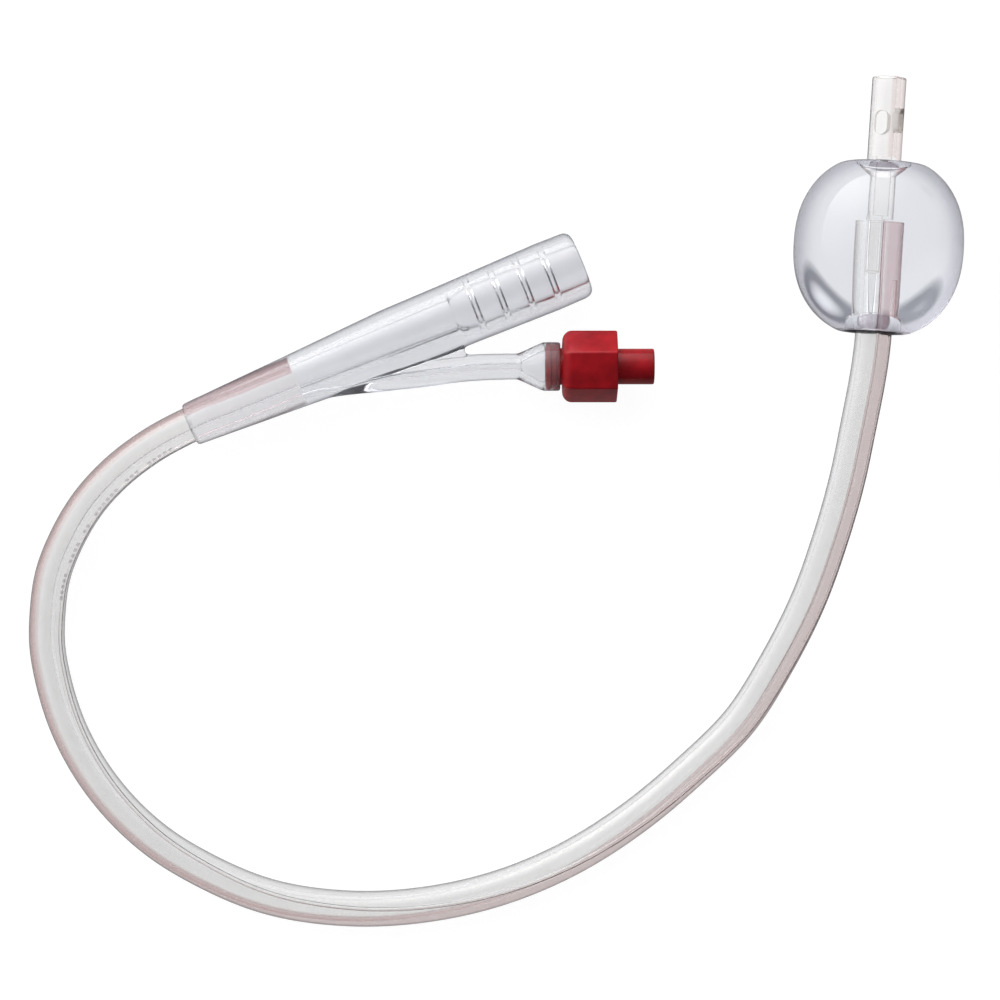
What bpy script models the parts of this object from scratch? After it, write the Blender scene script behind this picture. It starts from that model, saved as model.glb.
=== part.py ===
"""A two-way Foley urinary catheter with its balloon filled, lying as it comes to rest.

Metres, +Z up. The drainage funnel lies along X with its mouth at +X. The origin is on the surface
that the catheter lies on, under the middle of its moulded pieces. The tube leaves the funnel at -X
and comes round in one loop to the balloon and the tip.
"""

import math

import bmesh
import bpy
import numpy as np
from mathutils import Matrix, Vector
from mathutils.geometry import interpolate_bezier

# Fits between pieces
FIT = 0.0002
SEAT_GAP = 0.0003

# Tube: an 18 French extrusion with a wide drainage lumen and a fine inflation lumen in its thick wall
SHAFT_DIAMETER = 0.0060
DRAINAGE_LUMEN_DIAMETER = 0.0028
DRAINAGE_LUMEN_OFFSET = 0.00055
INFLATION_LUMEN_DIAMETER = 0.0007
INFLATION_LUMEN_OFFSET = 0.0021
INFLATION_EYE_DIAMETER = 0.0009
INFLATION_EYE_AT = -0.0050
INFLATION_PLUG_AT = -0.0040
SHAFT_POINT_SPACING = 0.0060
SHAFT_DROP_LENGTH = 0.048
SHAFT_RISE_LENGTH = 0.075
SHAFT_STRAIGHT_FROM = -0.0179
SHAFT_ROUTE = (
    (-0.0736, 0.0106),
    (-0.0811, 0.0086),
    (-0.0871, 0.0058),
    (-0.0926, 0.0018),
    (-0.0973, -0.0030),
    (-0.1005, -0.0083),
    (-0.1028, -0.0136),
    (-0.1041, -0.0193),
    (-0.1048, -0.0288),
    (-0.1030, -0.0403),
    (-0.0982, -0.0515),
    (-0.0927, -0.0590),
    (-0.0853, -0.0665),
    (-0.0725, -0.0743),
    (-0.0599, -0.0787),
    (-0.0482, -0.0807),
    (-0.0355, -0.0807),
    (-0.0218, -0.0783),
    (-0.0110, -0.0749),
    (0.0005, -0.0701),
    (0.0100, -0.0632),
    (0.0187, -0.0553),
    (0.0256, -0.0473),
    (0.0318, -0.0391),
    (0.0364, -0.0321),
)

# Y moulding: the drainage funnel, measured from the end that takes the tube
FUNNEL_START_X = -0.0660
FUNNEL_Y = 0.0114
FUNNEL_LENGTH = 0.0712
SOCKET_DEPTH = 0.0197
SOCKET_LIP_WALL = 0.00045
SOCKET_END_WALL = 0.0014
THROAT_DIAMETER = 0.0038
BORE_DIAMETER = 0.0052
BORE_WALL = 0.0029
FUNNEL_SHOULDER_AT = 0.0370
BORE_STEP_AT = 0.0479
BORE_STEP_DIAMETER = 0.0061
BORE_STEP_LENGTH = 0.0006
BORE_STEP_WALL = 0.0030
MOUTH_DIAMETER = 0.0069
MOUTH_WALL = 0.00245
MOUTH_ROUNDING = 0.0014
WIDEST_AT = 0.0648
MOUTH_DRAW = 0.0001

# Grip rings inside the mouth
RING_COUNT = 4
RING_PITCH = 0.0045
RING_HEIGHT = 0.00035
RING_TOP_WIDTH = 0.0005
RING_BASE_WIDTH = 0.0011
LAST_RING_BEFORE_MOUTH = 0.0058

# Inflation arm: its axis from inside the funnel's wall to the cup, from the funnel's start and axis
ARM_ROUTE = ((0.0150, -0.0010), (0.0239, -0.0024), (0.0325, -0.0049), (0.0391, -0.0069), (0.0463, -0.0089))
ARM_ROOT_DIAMETER = 0.0050
ARM_NECK_DIAMETER = 0.00434
ARM_SPACING = 0.0030
CHANNEL_DIAMETER = 0.0009
CHANNEL_BENDS = ((0.0220, -0.00235), (0.0250, -0.0030))
WEB_END_AT = 0.0474
WEB_START_AT = 0.0300
WEB_INNER_SIDE = -0.0025
WEB_THICKNESS = 0.0025

# Valve: the hexagon's inner face, from the funnel's start and axis. Its own axis leans away from the funnel
VALVE_AT = 0.06151
VALVE_ASIDE = -0.01487
VALVE_ANGLE = math.radians(-22.5)
HEX_CIRCUMRADIUS = 0.00615
HEX_CORNER_ROUNDING = 0.0005
HEX_CORNER_STEPS = 2
HEX_LENGTH = 0.00924
HEX_ROLL = math.radians(20.0)
HEX_SHOULDER = 0.0016
HEX_SHOULDER_SHARE = 0.70
HEX_SHOULDER_STEPS = 4
HEX_END_CHAMFER = 0.0003
NUB_DIAMETER = 0.0060
NUB_LENGTH = 0.0062
NUB_CHAMFER = 0.00025
SPIGOT_DIAMETER = 0.0062
SPIGOT_LENGTH = 0.0027
BARB_COUNT = 3
BARB_DEPTH = 0.00035
BARB_RISE = 0.8

# Cup on the arm's end, which holds the valve's spigot
CUP_LENGTH = 0.0076
CUP_CONE_LENGTH = 0.0047
CUP_CONE_INSET = 0.0002
CUP_WALL = 0.0008
CUP_FLOOR = 0.0012
CUP_INLET_DIAMETER = 0.0016

# Inside the valve
LUER_DIAMETER = 0.0043
LUER_TAPER = 0.06
LUER_DEPTH = 0.0066
SEAT_THICKNESS = 0.0011
SEAT_HOLE_DIAMETER = 0.0022
CHAMBER_DIAMETER = 0.0048
PLUNGER_TRAVEL = 0.0015
PLUNGER_NOSE_DIAMETER = 0.0016
PLUNGER_NOSE_REACH = 0.0021
PLUNGER_FLANGE_THICKNESS = 0.0009
PLUNGER_STEM_DIAMETER = 0.0018
SEAL_THICKNESS = 0.0008
RETAINER_THICKNESS = 0.0008
RETAINER_INSET = 0.0003
RETAINER_HOLE_DIAMETER = 0.0018
SPRING_WIRE_DIAMETER = 0.00035
SPRING_MEAN_DIAMETER = 0.0032
SPRING_TURNS = 6

# Balloon, whose middle is the origin of the tip's own axis. Each end turns in at its lip and runs down
# into a dimple, to a floor on the tube or the tip, from which a cuff runs back out
BALLOON_X = 0.05103
BALLOON_Y = -0.00546
TIP_ANGLE = math.radians(63.7)
BALLOON_DIAMETER = 0.0279
BALLOON_HALF_LENGTH = 0.0151
BALLOON_FULLNESS = 2.25
BALLOON_WALL = 0.00035
LOW_LIP_RADIUS = 0.0062
HIGH_LIP_RADIUS = 0.0078
LIP_REACH = 0.0028
LOW_DIMPLE_AT = 0.0100
HIGH_DIMPLE_AT = 0.0108
GROOVE_REACH = 0.0016
GROOVE_OPENING = 0.0005
CUFF_WALL = 0.00025
CUFF_LENGTH = 0.0028

# Tip, with places along its axis from the balloon's middle
SHAFT_END_AT = 0.0034
TIP_END_AT = 0.0279
TIP_HEAD_AT = 0.0102
TIP_HEAD_CONE = 0.0010
TIP_HEAD_DIAMETER = 0.0056
TIP_END_CHAMFER = 0.0002
TIP_BORE_DIAMETER = 0.0036
TIP_BORE_AT = 0.0147
TIP_BORE_OFFSET = 0.0004
TIP_NECK_DIAMETER = 0.0032
TIP_NECK_BORE_DIAMETER = 0.0018
TIP_SPIGOT_DIAMETER = 0.0023
TIP_SPIGOT_BORE_DIAMETER = 0.0016
TIP_SPIGOT_LENGTH = 0.0070
EYE_LENGTH = 0.0040
EYE_WIDTH = 0.0022
# Each drainage eye's place along the axis, and its turn from the top towards the tip's left
DRAINAGE_EYES = ((0.0202, math.radians(29.0)), (0.0208, math.radians(-62.0)))

# Roundness of the faceted solids
TURN_STEPS = 24
FUNNEL_STEPS = 32
OUTER_SIDES = 4
LUMEN_SIDES = 2
FINE_SIDES = 1
SPRING_STEPS_A_TURN = 10
BALLOON_STATIONS = 7
DIMPLE_STEPS = 7
EYE_ARC_STEPS = 6
ROUNDING_STEPS = 4
CURVE_STEPS = 12
WELD = 0.000001
OVERCUT = 0.0005
SMOOTH_ANGLE = math.radians(35.0)

# Places that follow from the sizes
SOCKET_RADIUS = SHAFT_DIAMETER / 2 + FIT
WIDEST_RADIUS = MOUTH_DIAMETER / 2 + MOUTH_WALL
AXIS_Z = WIDEST_RADIUS
FUNNEL_START = Vector((FUNNEL_START_X, FUNNEL_Y, AXIS_Z))
VALVE_ORIGIN = FUNNEL_START + Vector((VALVE_AT, VALVE_ASIDE, 0.0))
VALVE_DIRECTION = Vector((math.cos(VALVE_ANGLE), math.sin(VALVE_ANGLE), 0.0))
BALLOON_CENTRE = Vector((BALLOON_X, BALLOON_Y, BALLOON_DIAMETER / 2))
TIP_DIRECTION = Vector((math.cos(TIP_ANGLE), math.sin(TIP_ANGLE), 0.0))
PORT_END_AT = HEX_LENGTH + NUB_LENGTH
SEAT_OUTER_AT = PORT_END_AT - LUER_DEPTH
SEAT_INNER_AT = SEAT_OUTER_AT - SEAT_THICKNESS
SEAL_OUTER_AT = SEAT_INNER_AT - SEAT_GAP
FLANGE_OUTER_AT = SEAL_OUTER_AT - SEAL_THICKNESS - SEAT_GAP
FLANGE_INNER_AT = FLANGE_OUTER_AT - PLUNGER_FLANGE_THICKNESS
RETAINER_OUTER_AT = -SPIGOT_LENGTH + RETAINER_INSET + RETAINER_THICKNESS
STEM_END_AT = RETAINER_OUTER_AT + PLUNGER_TRAVEL + SEAT_GAP
CUP_RIM_AT = -SEAT_GAP
CUP_START_AT = CUP_RIM_AT - CUP_LENGTH
CUP_BORE_RADIUS = SPIGOT_DIAMETER / 2 + FIT


def clear_scene():
    for old in list(bpy.data.objects):
        bpy.data.objects.remove(old, do_unlink=True)


def finish(name, color, roughness, metallic=0.0, transmission=0.0, ior=1.45):
    material = bpy.data.materials.new(name)
    material.use_nodes = True
    shader = material.node_tree.nodes["Principled BSDF"]
    shader.inputs["Base Color"].default_value = (*color, 1.0)
    shader.inputs["Roughness"].default_value = roughness
    shader.inputs["Metallic"].default_value = metallic
    shader.inputs["Transmission Weight"].default_value = transmission
    shader.inputs["IOR"].default_value = ior
    return material


def add_piece(name, mesh, origin, angle=0.0, material=None):
    """Puts a mesh in the scene, turned about Z by the angle, and shades its round faces smooth."""
    mesh.shade_smooth()
    mesh.set_sharp_from_angle(angle=SMOOTH_ANGLE)
    piece = bpy.data.objects.new(name, mesh)
    piece.location = origin
    piece.rotation_euler.z = angle
    if material:
        mesh.materials.append(material)
    bpy.context.scene.collection.objects.link(piece)
    return piece


def combine(target, helper, operation):
    """Joins the helper to the target, or cuts it away, and hides the helper."""
    step = target.modifiers.new(helper.name, "BOOLEAN")
    step.operation = operation
    step.solver = "EXACT"
    step.object = helper
    helper.hide_render = True
    helper.display_type = "WIRE"


def turned_mesh(name, outline, steps=TURN_STEPS):
    """Solid of revolution about X through (x, radius) points. A ring's outline ends where it starts."""
    shape = bmesh.new()
    corners = [shape.verts.new((x, 0.0, radius)) for x, radius in outline]
    edges = [shape.edges.new(pair) for pair in zip(corners, corners[1:])]
    axis = (1.0, 0.0, 0.0)
    bmesh.ops.spin(shape, geom=corners + edges, cent=(0.0, 0.0, 0.0), axis=axis, angle=math.tau, steps=steps)
    bmesh.ops.remove_doubles(shape, verts=shape.verts, dist=WELD)
    poles = [corner for corner in shape.verts if len(corner.link_faces) == steps]
    bmesh.ops.dissolve_verts(shape, verts=poles)
    bmesh.ops.recalc_face_normals(shape, faces=shape.faces)
    mesh = bpy.data.meshes.new(name)
    shape.to_mesh(mesh)
    shape.free()
    return mesh


def extruded_mesh(name, outline, bottom, top):
    """Prism along Z over a flat outline of (x, y) points."""
    shape = bmesh.new()
    face = shape.faces.new([shape.verts.new((x, y, bottom)) for x, y in outline])
    raised = bmesh.ops.extrude_face_region(shape, geom=[face])["geom"]
    lifted = [corner for corner in raised if isinstance(corner, bmesh.types.BMVert)]
    bmesh.ops.translate(shape, verts=lifted, vec=(0.0, 0.0, top - bottom))
    bmesh.ops.recalc_face_normals(shape, faces=shape.faces)
    mesh = bpy.data.meshes.new(name)
    shape.to_mesh(mesh)
    shape.free()
    return mesh


def bar_mesh(name, points, radii, resolution):
    """Round bar along the points with filled ends, each point with its own radius."""
    curve = bpy.data.curves.new(name, "CURVE")
    curve.dimensions = "3D"
    curve.bevel_depth = radii[0]
    curve.bevel_resolution = resolution
    curve.use_fill_caps = True
    spline = curve.splines.new("POLY")
    spline.points.add(len(points) - 1)
    for knot, point, radius in zip(spline.points, points, radii):
        knot.co = (*point, 1.0)
        knot.radius = radius / radii[0]
    guide = bpy.data.objects.new(name, curve)
    bpy.context.scene.collection.objects.link(guide)
    graph = bpy.context.evaluated_depsgraph_get()
    mesh = bpy.data.meshes.new_from_object(guide.evaluated_get(graph))
    bpy.data.objects.remove(guide, do_unlink=True)
    return mesh


def add_turned_on_valve(name, outline, material=None):
    return add_piece(name, turned_mesh(name, outline), VALVE_ORIGIN, VALVE_ANGLE, material)


def smooth_path(knots, spacing):
    """Evenly spaced points on one smooth curve through the knots, and their distances from its start."""
    chords = [after - before for before, after in zip(knots, knots[1:])]
    slopes = [chords[0].normalized()]
    for back, ahead in zip(chords, chords[1:]):
        total = back.length + ahead.length
        slopes.append((back * (ahead.length / back.length) + ahead * (back.length / ahead.length)) / total)
    slopes.append(chords[-1].normalized())
    fine = []
    for index, chord in enumerate(chords):
        reach = chord.length / 3
        handle = knots[index] + slopes[index] * reach
        next_handle = knots[index + 1] - slopes[index + 1] * reach
        fine += interpolate_bezier(knots[index], handle, next_handle, knots[index + 1], CURVE_STEPS)[:-1]
    fine.append(knots[-1])
    fine = np.array(fine)
    marks = np.concatenate([[0.0], np.cumsum(np.linalg.norm(np.diff(fine, axis=0), axis=1))])
    distances = np.linspace(0.0, marks[-1], round(marks[-1] / spacing) + 1)
    columns = [np.interp(distances, marks, fine[:, axis]) for axis in range(3)]
    return [Vector(point) for point in zip(*columns)], distances


def eased(share):
    """0 to 1 with a level start and a level end."""
    share = min(max(share, 0.0), 1.0)
    return share * share * (3.0 - 2.0 * share)


def along_funnel(distance, aside=0.0):
    return FUNNEL_START + Vector((distance, aside, 0.0))


def along_valve(distance):
    return VALVE_ORIGIN + VALVE_DIRECTION * distance


def along_tip(distance):
    return BALLOON_CENTRE + TIP_DIRECTION * distance


def shaft_path():
    """The tube's axis from its end in the socket to its end in the balloon, with the distances along it."""
    socket_end = along_funnel(SOCKET_DEPTH - SEAT_GAP)
    knots = [socket_end, (socket_end + FUNNEL_START) / 2, FUNNEL_START]
    knots += [Vector((x, y, 0.0)) for x, y in SHAFT_ROUTE]
    knots += [along_tip(SHAFT_STRAIGHT_FROM), along_tip(0.0), along_tip(SHAFT_END_AT)]
    level = [Vector((knot.x, knot.y, 0.0)) for knot in knots]
    points, distances = smooth_path(level, SHAFT_POINT_SPACING)
    lying = SHAFT_DIAMETER / 2
    rise_end = distances[-1] - (SHAFT_END_AT - SHAFT_STRAIGHT_FROM)
    for point, distance in zip(points, distances):
        drop = eased((distance - SOCKET_DEPTH) / SHAFT_DROP_LENGTH)
        rise = eased((distance - rise_end + SHAFT_RISE_LENGTH) / SHAFT_RISE_LENGTH)
        point.z = AXIS_Z + (lying - AXIS_Z) * drop + (BALLOON_CENTRE.z - lying) * rise
    return points, distances


def lumen_path(points, distances, offset):
    """A line beside the tube's axis, on the loop's inner side at the funnel and its outer side at the tip."""
    twist_start = SOCKET_DEPTH
    twist_end = distances[-1] - (SHAFT_END_AT - SHAFT_STRAIGHT_FROM)
    line = []
    for index, point in enumerate(points):
        ahead = points[min(index + 1, len(points) - 1)] - points[max(index - 1, 0)]
        side = Vector((-ahead.y, ahead.x, 0.0)).normalized()
        up = ahead.normalized().cross(side)
        twist = math.pi * eased((distances[index] - twist_start) / (twist_end - twist_start))
        line.append(point + (side * math.cos(twist) + up * math.sin(twist)) * offset)
    return line


def lengthened(line):
    """The line with both ends moved out, so that a cutter along it passes through."""
    start = line[0] + (line[0] - line[1]).normalized() * OVERCUT
    end = line[-1] + (line[-1] - line[-2]).normalized() * OVERCUT
    return [start, *line[1:-1], end]


def add_bar_cutter(name, line, diameter, resolution):
    mesh = bar_mesh(name, line, [diameter / 2] * len(line), resolution)
    return add_piece(name, mesh, (0.0, 0.0, 0.0))


def make_shaft(silicone):
    points, distances = shaft_path()
    mesh = bar_mesh("shaft", points, [SHAFT_DIAMETER / 2] * len(points), OUTER_SIDES)
    shaft = add_piece("shaft", mesh, (0.0, 0.0, 0.0), material=silicone)

    drainage = lengthened(lumen_path(points, distances, -DRAINAGE_LUMEN_OFFSET))
    cutter = add_bar_cutter("drainage_lumen_cutter", drainage, DRAINAGE_LUMEN_DIAMETER, LUMEN_SIDES)
    combine(shaft, cutter, "DIFFERENCE")

    inflation = lengthened(lumen_path(points, distances, INFLATION_LUMEN_OFFSET))
    outward = Vector((TIP_DIRECTION.y, -TIP_DIRECTION.x, 0.0))
    plug = along_tip(INFLATION_PLUG_AT) + outward * INFLATION_LUMEN_OFFSET
    inflation = [point for point in inflation if (point - plug).dot(TIP_DIRECTION) < -OVERCUT] + [plug]
    cutter = add_bar_cutter("inflation_lumen_cutter", inflation, INFLATION_LUMEN_DIAMETER, FINE_SIDES)
    combine(shaft, cutter, "DIFFERENCE")

    reach = SHAFT_DIAMETER / 2 + OVERCUT
    radius = INFLATION_EYE_DIAMETER / 2
    outline = [(INFLATION_LUMEN_OFFSET, 0.0), (INFLATION_LUMEN_OFFSET, radius), (reach, radius), (reach, 0.0)]
    mesh = turned_mesh("inflation_eye_cutter", outline, TURN_STEPS // 2)
    eye = add_piece("inflation_eye_cutter", mesh, along_tip(INFLATION_EYE_AT), TIP_ANGLE - math.pi / 2)
    combine(shaft, eye, "DIFFERENCE")
    return shaft


def funnel_outline():
    """Outside of the funnel from the blunt step over the tube to the rounded edge of the mouth."""
    start = SOCKET_RADIUS + SOCKET_LIP_WALL
    mouth = WIDEST_RADIUS - MOUTH_DRAW
    outline = [(0.0, 0.0), (0.0, start)]
    outline.append((SOCKET_DEPTH, SOCKET_RADIUS + SOCKET_END_WALL))
    outline.append((FUNNEL_SHOULDER_AT, BORE_DIAMETER / 2 + BORE_WALL))
    outline.append((BORE_STEP_AT, BORE_DIAMETER / 2 + BORE_STEP_WALL))
    outline.append((WIDEST_AT, WIDEST_RADIUS))
    for step in range(ROUNDING_STEPS + 1):
        turn = math.pi / 2 * step / ROUNDING_STEPS
        inset = MOUTH_ROUNDING * (1.0 - math.sin(turn))
        outline.append((FUNNEL_LENGTH - inset, mouth - MOUTH_ROUNDING * (1.0 - math.cos(turn))))
    outline.append((FUNNEL_LENGTH, 0.0))
    return outline


def bore_outline():
    """The bore from the tube's end to past the mouth, with the grip rings left standing in it."""
    length = FUNNEL_LENGTH - SOCKET_DEPTH
    step_at = BORE_STEP_AT - SOCKET_DEPTH
    mouth = MOUTH_DIAMETER / 2
    outline = [(-OVERCUT, 0.0), (-OVERCUT, THROAT_DIAMETER / 2), (step_at, BORE_DIAMETER / 2)]
    outline.append((step_at + BORE_STEP_LENGTH, BORE_STEP_DIAMETER / 2))
    for ring in range(RING_COUNT):
        middle = length - LAST_RING_BEFORE_MOUTH - RING_PITCH * (RING_COUNT - 1 - ring)
        outline.append((middle - RING_BASE_WIDTH / 2, mouth))
        outline.append((middle - RING_TOP_WIDTH / 2, mouth - RING_HEIGHT))
        outline.append((middle + RING_TOP_WIDTH / 2, mouth - RING_HEIGHT))
        outline.append((middle + RING_BASE_WIDTH / 2, mouth))
    outline += [(length + OVERCUT, mouth), (length + OVERCUT, 0.0)]
    return outline


def arm_line():
    """The arm's axis, from inside the funnel to inside the cup's cone."""
    knots = [along_funnel(distance, aside) for distance, aside in ARM_ROUTE]
    knots += [along_valve(CUP_START_AT), along_valve(CUP_START_AT + CUP_FLOOR)]
    return smooth_path(knots, ARM_SPACING)[0]


def add_inflation_channel_cutter():
    """The fine channel from the tube's inflation lumen through the arm to the cup."""
    start = along_funnel(SOCKET_DEPTH - OVERCUT, -INFLATION_LUMEN_OFFSET)
    bends = [along_funnel(distance, aside) for distance, aside in CHANNEL_BENDS]
    arm = [along_funnel(distance, aside) for distance, aside in ARM_ROUTE[2:]]
    cup = [along_valve(CUP_START_AT), along_valve(CUP_START_AT + CUP_FLOOR + OVERCUT)]
    line = smooth_path([start, *bends, *arm, *cup], ARM_SPACING)[0]
    return add_bar_cutter("inflation_channel_cutter", line, CHANNEL_DIAMETER, LUMEN_SIDES)


def add_web():
    """The flat wedge that fills the crotch between the funnel and the arm."""
    arm_root = ARM_ROUTE[2]
    arm_end = ARM_ROUTE[-1]
    outline = [(WEB_START_AT, WEB_INNER_SIDE), (WEB_END_AT, WEB_INNER_SIDE)]
    outline += [(WEB_END_AT, arm_end[1]), arm_root]
    mesh = extruded_mesh("web", outline, -WEB_THICKNESS / 2, WEB_THICKNESS / 2)
    return add_piece("web", mesh, FUNNEL_START)


def make_y_funnel(silicone):
    body = turned_mesh("y_funnel", funnel_outline(), FUNNEL_STEPS)
    moulding = add_piece("y_funnel", body, FUNNEL_START, material=silicone)

    line = arm_line()
    last = len(line) - 1
    radii = []
    for index in range(last + 1):
        radii.append((ARM_ROOT_DIAMETER + (ARM_NECK_DIAMETER - ARM_ROOT_DIAMETER) * index / last) / 2)
    arm = add_piece("inflation_arm", bar_mesh("inflation_arm", line, radii, OUTER_SIDES), (0.0, 0.0, 0.0))
    combine(moulding, arm, "UNION")

    cup_radius = CUP_BORE_RADIUS + CUP_WALL
    neck_radius = ARM_NECK_DIAMETER / 2 - CUP_CONE_INSET
    cone_end = CUP_START_AT + CUP_CONE_LENGTH
    outline = [(CUP_START_AT, 0.0), (CUP_START_AT, neck_radius), (cone_end, cup_radius)]
    outline += [(CUP_RIM_AT, cup_radius), (CUP_RIM_AT, 0.0)]
    combine(moulding, add_turned_on_valve("cup", outline), "UNION")
    combine(moulding, add_web(), "UNION")

    outline = [(-OVERCUT, 0.0), (-OVERCUT, SOCKET_RADIUS), (SOCKET_DEPTH, SOCKET_RADIUS), (SOCKET_DEPTH, 0.0)]
    socket = add_piece("socket_cutter", turned_mesh("socket_cutter", outline), FUNNEL_START)
    combine(moulding, socket, "DIFFERENCE")

    start = along_funnel(SOCKET_DEPTH, DRAINAGE_LUMEN_OFFSET)
    lean = -math.atan2(DRAINAGE_LUMEN_OFFSET, FUNNEL_LENGTH - SOCKET_DEPTH)
    bore = add_piece("bore_cutter", turned_mesh("bore_cutter", bore_outline()), start, lean)
    combine(moulding, bore, "DIFFERENCE")
    combine(moulding, add_inflation_channel_cutter(), "DIFFERENCE")

    inlet = CUP_START_AT + CUP_FLOOR
    bore_start = -SPIGOT_LENGTH - FIT
    outline = [(inlet, 0.0), (inlet, CUP_INLET_DIAMETER / 2), (bore_start, CUP_BORE_RADIUS)]
    outline += [(OVERCUT, CUP_BORE_RADIUS), (OVERCUT, 0.0)]
    combine(moulding, add_turned_on_valve("cup_cutter", outline), "DIFFERENCE")
    return moulding


def hexagon_section():
    """Points (across, up) of a hexagon with round corners."""
    reach = HEX_CIRCUMRADIUS - HEX_CORNER_ROUNDING / math.cos(math.pi / 6)
    section = []
    for corner in range(6):
        middle = HEX_ROLL + math.tau * corner / 6
        for step in range(HEX_CORNER_STEPS + 1):
            turn = middle + math.pi / 3 * (step / HEX_CORNER_STEPS - 0.5)
            across = reach * math.sin(middle) + HEX_CORNER_ROUNDING * math.sin(turn)
            section.append((across, reach * math.cos(middle) + HEX_CORNER_ROUNDING * math.cos(turn)))
    return section


def hexagon_mesh(name):
    """Hexagonal bar along X with a rounded shoulder at its inner end and a chamfer at the other."""
    stations = []
    for step in range(HEX_SHOULDER_STEPS + 1):
        turn = math.pi / 2 * step / HEX_SHOULDER_STEPS
        share = HEX_SHOULDER_SHARE + (1.0 - HEX_SHOULDER_SHARE) * math.sin(turn)
        stations.append((HEX_SHOULDER * (1.0 - math.cos(turn)), share))
    stations.append((HEX_LENGTH - HEX_END_CHAMFER, 1.0))
    stations.append((HEX_LENGTH, 1.0 - HEX_END_CHAMFER / HEX_CIRCUMRADIUS))
    section = hexagon_section()
    shape = bmesh.new()
    rings = [[shape.verts.new((x, y * share, z * share)) for y, z in section] for x, share in stations]
    for ring, following in zip(rings, rings[1:]):
        for corner in range(len(section)):
            after = (corner + 1) % len(section)
            shape.faces.new((ring[corner], ring[after], following[after], following[corner]))
    shape.faces.new(rings[0])
    shape.faces.new(rings[-1])
    bmesh.ops.recalc_face_normals(shape, faces=shape.faces)
    mesh = bpy.data.meshes.new(name)
    shape.to_mesh(mesh)
    shape.free()
    return mesh


def make_valve_body(red):
    body = add_piece("valve_body", hexagon_mesh("valve_body"), VALVE_ORIGIN, VALVE_ANGLE, red)
    spigot = SPIGOT_DIAMETER / 2
    nub = NUB_DIAMETER / 2
    middle = HEX_LENGTH / 2
    pitch = SPIGOT_LENGTH / BARB_COUNT
    outline = [(-SPIGOT_LENGTH, 0.0)]
    for barb in range(BARB_COUNT):
        start = -SPIGOT_LENGTH + pitch * barb
        outline += [(start, spigot - BARB_DEPTH), (start + pitch * BARB_RISE, spigot)]
    outline += [(0.0, spigot), (middle, spigot), (middle, nub)]
    outline += [(PORT_END_AT - NUB_CHAMFER, nub), (PORT_END_AT, nub - NUB_CHAMFER), (PORT_END_AT, 0.0)]
    combine(body, add_turned_on_valve("valve_core", outline), "UNION")

    mouth = LUER_DIAMETER / 2
    port = mouth - LUER_TAPER / 2 * LUER_DEPTH
    hole = SEAT_HOLE_DIAMETER / 2
    chamber = CHAMBER_DIAMETER / 2
    outline = [(-SPIGOT_LENGTH - OVERCUT, 0.0), (-SPIGOT_LENGTH - OVERCUT, chamber)]
    outline += [(SEAT_INNER_AT, chamber), (SEAT_INNER_AT, hole), (SEAT_OUTER_AT, hole), (SEAT_OUTER_AT, port)]
    outline += [(PORT_END_AT, mouth), (PORT_END_AT + OVERCUT, mouth), (PORT_END_AT + OVERCUT, 0.0)]
    combine(body, add_turned_on_valve("valve_bore_cutter", outline), "DIFFERENCE")
    return body


def make_valve_plunger(white):
    """The stem, the flange and the nose that a syringe's tip meets in the port."""
    nose = PLUNGER_NOSE_DIAMETER / 2
    flange = CHAMBER_DIAMETER / 2 - SEAT_GAP
    stem = PLUNGER_STEM_DIAMETER / 2
    tip = SEAT_OUTER_AT + PLUNGER_NOSE_REACH
    outline = [(STEM_END_AT, 0.0), (STEM_END_AT, stem), (FLANGE_INNER_AT, stem), (FLANGE_INNER_AT, flange)]
    outline += [(FLANGE_OUTER_AT, flange), (FLANGE_OUTER_AT, nose), (tip, nose), (tip, 0.0)]
    return add_turned_on_valve("valve_plunger", outline, white)


def ring_outline(start, end, inner, outer):
    return [(start, inner), (start, outer), (end, outer), (end, inner), (start, inner)]


def make_valve_seal(rubber):
    """The washer round the plunger's nose, between its flange and the seat."""
    start = SEAL_OUTER_AT - SEAL_THICKNESS
    inner = PLUNGER_NOSE_DIAMETER / 2 + FIT
    outline = ring_outline(start, SEAL_OUTER_AT, inner, CHAMBER_DIAMETER / 2 - SEAT_GAP)
    return add_turned_on_valve("valve_seal", outline, rubber)


def make_valve_retainer(white):
    """The pierced disc at the spigot's end, which carries the spring."""
    start = RETAINER_OUTER_AT - RETAINER_THICKNESS
    outer = CHAMBER_DIAMETER / 2 - FIT
    outline = ring_outline(start, RETAINER_OUTER_AT, RETAINER_HOLE_DIAMETER / 2, outer)
    return add_turned_on_valve("valve_retainer", outline, white)


def make_valve_spring(steel):
    """The compression spring between the retainer and the plunger's flange."""
    wire = SPRING_WIRE_DIAMETER / 2
    start = RETAINER_OUTER_AT + SEAT_GAP + wire
    end = FLANGE_INNER_AT - SEAT_GAP - wire
    steps = SPRING_TURNS * SPRING_STEPS_A_TURN
    line = []
    for step in range(steps + 1):
        turn = math.tau * step / SPRING_STEPS_A_TURN
        across = Vector((0.0, math.sin(turn), math.cos(turn))) * (SPRING_MEAN_DIAMETER / 2)
        line.append(Vector((start + (end - start) * step / steps, 0.0, 0.0)) + across)
    mesh = bar_mesh("valve_spring", line, [wire] * len(line), FINE_SIDES)
    return add_piece("valve_spring", mesh, VALVE_ORIGIN, VALVE_ANGLE, steel)


def half_length_at(radius):
    """How far from the balloon's middle its side has drawn in to a radius."""
    share = 1.0 - (radius / (BALLOON_DIAMETER / 2)) ** BALLOON_FULLNESS
    return BALLOON_HALF_LENGTH * share ** (1.0 / BALLOON_FULLNESS)


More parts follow.
